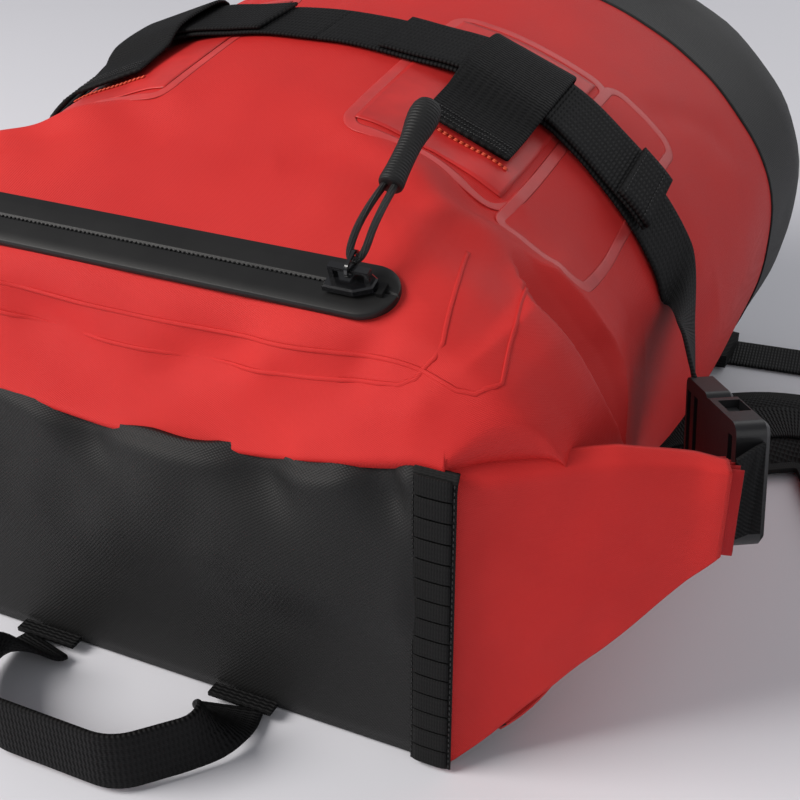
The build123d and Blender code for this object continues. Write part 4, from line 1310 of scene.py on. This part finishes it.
grip_profile = [
    (2.6, -0.4), (3.5, -0.2), (3.9, 0.4), (4.0, 1.4), (3.9, 3.0), (3.7, 6.0), (3.6, 10.0), (3.6, 14.0),
    (3.7, 17.0), (4.1, 20.0), (4.6, 23.0), (4.9, 26.0), (4.9, 28.0), (4.6, 30.2), (3.9, 31.8),
    (2.8, 32.7), (1.4, 33.0), (0.3, 33.05),
]
grip = spun("puller_grip_rubber", grip_profile, GRIP_START, ALONG, grip_rubber)
finish_piece(grip, "puller", "grip_rubber", "puller_grip")
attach(puller_cord, "puller")
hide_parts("puller_cord")
print("grip faces:", len(grip.data.polygons))

# %% [markdown]
# ## Harness
#
# Shoulder straps lie on the floor beside the bag. Each is a padded strip in spacer mesh with a
# bound edge, joined by an adjuster to webbing that returns to a corner of the foot.

# %% Padded strips
SHOULDER_ROUTE = [(70, -116), (118, 40), (196, 92), (238, -6), (286, -62), (326, -4), (300, 66)]
SHOULDER_RADIUS = 34.0


def rounded_route(points, radius, gap=3.0):
    """A plane line with its corners rounded by arcs."""
    points = [np.array(p, float) for p in points]
    line = [points[0]]
    for before, corner, after in zip(points, points[1:], points[2:]):
        a, b = before - corner, after - corner
        a, b = a / np.linalg.norm(a), b / np.linalg.norm(b)
        half = math.acos(np.clip(a @ b, -1, 1)) / 2
        reach = radius / math.tan(half)
        centre = corner + (a + b) / np.linalg.norm(a + b) * (radius / math.sin(half))
        start, stop = corner + a * reach, corner + b * reach
        angle0, angle1 = (math.atan2(*(p - centre)[::-1]) for p in (start, stop))
        turn = (angle1 - angle0 + math.pi) % (2 * math.pi) - math.pi
        steps = max(3, int(abs(turn) * radius / gap))
        for k in range(steps + 1):
            angle = angle0 + turn * k / steps
            line.append(centre + radius * np.array([math.cos(angle), math.sin(angle)]))
    line.append(points[-1])
    line = np.array(line)
    run = distance_along(line)
    keep = np.linspace(0, run[-1], int(run[-1] / gap) + 1)
    return np.stack([np.interp(keep, run, line[:, 0]), np.interp(keep, run, line[:, 1])], axis=1)


def leftward(line):
    """Unit direction square to a plane line, to its left, at each of its points."""
    ahead = np.gradient(line, axis=0)
    ahead /= np.linalg.norm(ahead, axis=1, keepdims=True)
    return np.stack([-ahead[:, 1], ahead[:, 0]], axis=1)


def pad_strip(name, line, width, thickness, side, material):
    """A crowned padded strip along a plane line on the floor, a little narrower at its ends."""
    cross, run = leftward(line), distance_along(line)
    shares = np.array([-1, -0.97, -0.9, -0.8, -0.6, -0.3, 0, 0.3, 0.6, 0.8, 0.9, 0.97, 1])
    lift = np.array([0.35, 0.55, 0.66, 0.8, 0.94, 0.99, 1.0, 0.99, 0.94, 0.8, 0.66, 0.55, 0.35])
    points = []
    for k, (p, c) in enumerate(zip(line, cross)):
        end = min(run[k], run[-1] - run[k]) / 14.0
        half = width / 2 * (1 - 0.35 * max(0, 1 - end) ** 2)
        wobble = 0.25 * math.sin(run[k] / 11.0) + 0.2 * math.sin(run[k] / 5.3)
        rise = [max(0.6, thickness * h + wobble * (1 - s * s)) for s, h in zip(shares, lift)]
        top = [(*(p + c * s * half), z) for s, z in zip(shares, rise)]
        low = [(*(p + c * s * half * 0.985), 0.15 if abs(s) < 0.95 else 1.2) for s in shares[::-1]]
        points += top + low
    points = np.array(points) * np.array([side, 1, 1])
    return outward(link_mesh(name, points, tube_faces(len(line), 2 * len(shares)), material))


def floor_band(name, line, width, z, thickness, side, material):
    """Webbing flat on the floor along a plane line."""
    rows = []
    for p, c in zip(line, leftward(line)):
        left, right = p - c * width / 2, p + c * width / 2
        rows.append(np.array([(left[0] * side, left[1], z), (right[0] * side, right[1], z), (0, 0, 1)]))
    return band(name, rows, thickness, material, gap=3.0)


shoulder_line = rounded_route(SHOULDER_ROUTE, SHOULDER_RADIUS)
end, before = np.array(SHOULDER_ROUTE[-1], float), np.array(SHOULDER_ROUTE[-2], float)
on = (end - before) / np.linalg.norm(end - before)
ladder_line = rounded_route([tuple(end + on * 6), (286, 126), (212, 152), (120, 142)], 24.0)
for word, side in SIDES:
    pad = pad_strip(f"shoulder_pad_{word}", shoulder_line, 62.0, 7.4, side, pad_mesh)
    finish_piece(pad, "bag", "pad_mesh", f"shoulder_strap_{word}")
    for edge, way in (("inner", -1), ("outer", 1)):
        line = shoulder_line + leftward(shoulder_line) * (way * 29.5)
        binding = floor_band(f"shoulder_binding_{word}_{edge}", line, 7.0, 2.6, 2.2, side, ribbon)
        finish_piece(binding, "bag", "ribbon")
    centre = floor_band(f"shoulder_webbing_{word}", shoulder_line[20:], 25.0, 7.2, 1.4, side, webbing)
    finish_piece(centre, "bag", "webbing")
    ladder = floor_band(f"ladder_webbing_{word}_band", ladder_line, 25.0, 0.1, 1.5, side, webbing)
    finish_piece(ladder, "bag", "webbing", f"ladder_webbing_{word}")
print("shoulder strap length:", round(len(shoulder_line) * 3.0), "mm")

# %% [markdown]
# ## Back pads
#
# Two foam pads under mesh hold the bag off the floor. They only show from below, but they are
# shaped like the rest: crowned, with soft corners.


# %% Back pads
def back_pad(name, node, corner):
    """A padded block with round corners, flat where it rests."""
    low, high = (np.array(v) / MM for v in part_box(node))
    outline = densify(rounded_frame(low[0], high[0], low[1], high[1], corner), 6.0)
    centre = outline.mean(axis=0)
    rings = [
        (0.90, low[2]), (0.985, low[2] + 1.2), (1.0, 4.0), (0.985, high[2] - 1.2), (0.90, high[2] - 0.2),
        (0.5, high[2] - 0.1),
    ]
    points = [(*(centre + (p - centre) * share), z) for share, z in rings for p in outline]
    made = outward(link_mesh(name, points, tube_faces(len(rings), len(outline)), pad_mesh))
    finish_piece(made, "bag", "pad_mesh", node)


back_pad("spine_pad", "back_pad_spine", 12.0)
back_pad("lumbar_pad", "back_pad_lumbar", 12.0)
print("back pads: 2")

# %% [markdown]
# ## Haul handle
#
# A loop of webbing sewn to the mouth's foot. It stands on its edge on the floor, and swings up
# about its sewn ends, so its root lies on that hinge line.

# %% Haul handle
HANDLE_HALF = 11.0
HANDLE_ROOT = WALL_Y - 6.5
HANDLE_ROUTE = [
    (38, HANDLE_ROOT), (44, HANDLE_ROOT - 24), (24, HANDLE_ROOT - 46), (-24, HANDLE_ROOT - 46),
    (-44, HANDLE_ROOT - 24), (-38, HANDLE_ROOT),
]


def handle_rows():
    """Rows of the handle: upright in the middle of its run, and turned flat where it goes under the bag."""
    line = rounded_route(HANDLE_ROUTE, 16.0, 2.0)
    rows = []
    for p, c, s in zip(line, leftward(line), np.linspace(0, 1, len(line))):
        turn = math.radians(90) * float(smooth_step(min(s, 1 - s), 0.0, 0.2))
        span = np.array([*(-c * math.cos(turn)), math.sin(turn)])
        facing = np.array([*(c * math.sin(turn)), math.cos(turn)])
        middle = np.array([p[0], p[1], 1.2 + (HANDLE_HALF + 0.6) * math.sin(turn)])
        rows.append(np.array([middle - span * HANDLE_HALF, middle + span * HANDLE_HALF, facing]))
    return rows


handle = band("haul_handle_band", handle_rows(), 2.2, webbing, gap=2.0)
finish_piece(handle, "handle", "webbing", "haul_handle")
print("handle faces:", len(handle.data.polygons))

# %% [markdown]
# ## Finishes of the moulded parts
#
# Buckles, adjusters, stops, slider and ring keep their CAD shape: they are small hard parts, and
# the CAD holds their fits. They only need their finish.

# %% Finishes for the CAD parts
CAD_FINISHES = {
    "buckle": nylon, "prong": nylon, "ladder_lock": nylon, "stiffener": nylon,
    "zip_stops": zip_plastic, "zip_slider": slider_metal, "puller_ring": slider_metal,
    "roll_tab": folded_webbing, "corner_anchor": folded_webbing, "handle_anchors": folded_webbing,
    "pocket_liner": black_fabric,
}
for node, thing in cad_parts.items():
    for start, material in CAD_FINISHES.items():
        if node.startswith(start):
            thing = bpy.data.objects[thing] if isinstance(thing, str) else thing
            for place in thing.material_slots:
                place.material = material
print("CAD finishes set")

# %% [markdown]
# ## Studio
#
# A pale floor that runs back out of sight, a large soft key from the upper left, a broad light
# from behind and a weak fill from the right, as for a catalogue picture.


# %% Floor and lights
floor_finish = Finish("studio_floor", (0.72, 0.72, 0.76), 0.6)
floor_cloud = floor_finish.noise(floor_finish.place(), 3.0, 2.0)
floor_finish.feed("Roughness", floor_cloud * 0.1 + 0.55)
bpy.ops.mesh.primitive_plane_add(size=8.0, location=(0, 0, -0.0003))
floor = bpy.context.object
floor.name = "studio_floor"
floor.data.materials.append(floor_finish.material)


def area_light(name, place, target, size, power, colour=(1, 1, 1)):
    """A square light that faces its target."""
    data = bpy.data.lights.new(name, "AREA")
    data.size = size
    data.energy = power
    data.color = colour
    made = bpy.data.objects.new(name, data)
    made.location = place
    made.rotation_euler = (Vector(place) - Vector(target)).to_track_quat("Z", "Y").to_euler()
    bpy.context.collection.objects.link(made)


area_light("key", (-1.0, -0.95, 1.10), (0.0, -0.05, 0.1), 0.9, 31.0, (1.0, 0.97, 0.94))
area_light("back", (0.8, 1.8, 1.3), (0.4, 0.4, 0.0), 2.0, 14.0)
area_light("fill", (1.2, -0.9, 0.7), (0.1, -0.1, 0.1), 1.2, 3.2)
world = bpy.data.worlds.new("studio")
world.use_nodes = True
world.node_tree.nodes["Background"].inputs[0].default_value = (0.93, 0.94, 1.0, 1.0)
world.node_tree.nodes["Background"].inputs[1].default_value = 0.28
bpy.context.scene.world = world
bpy.context.scene.view_settings.view_transform = "Standard"
print("lights:", len(bpy.data.lights))
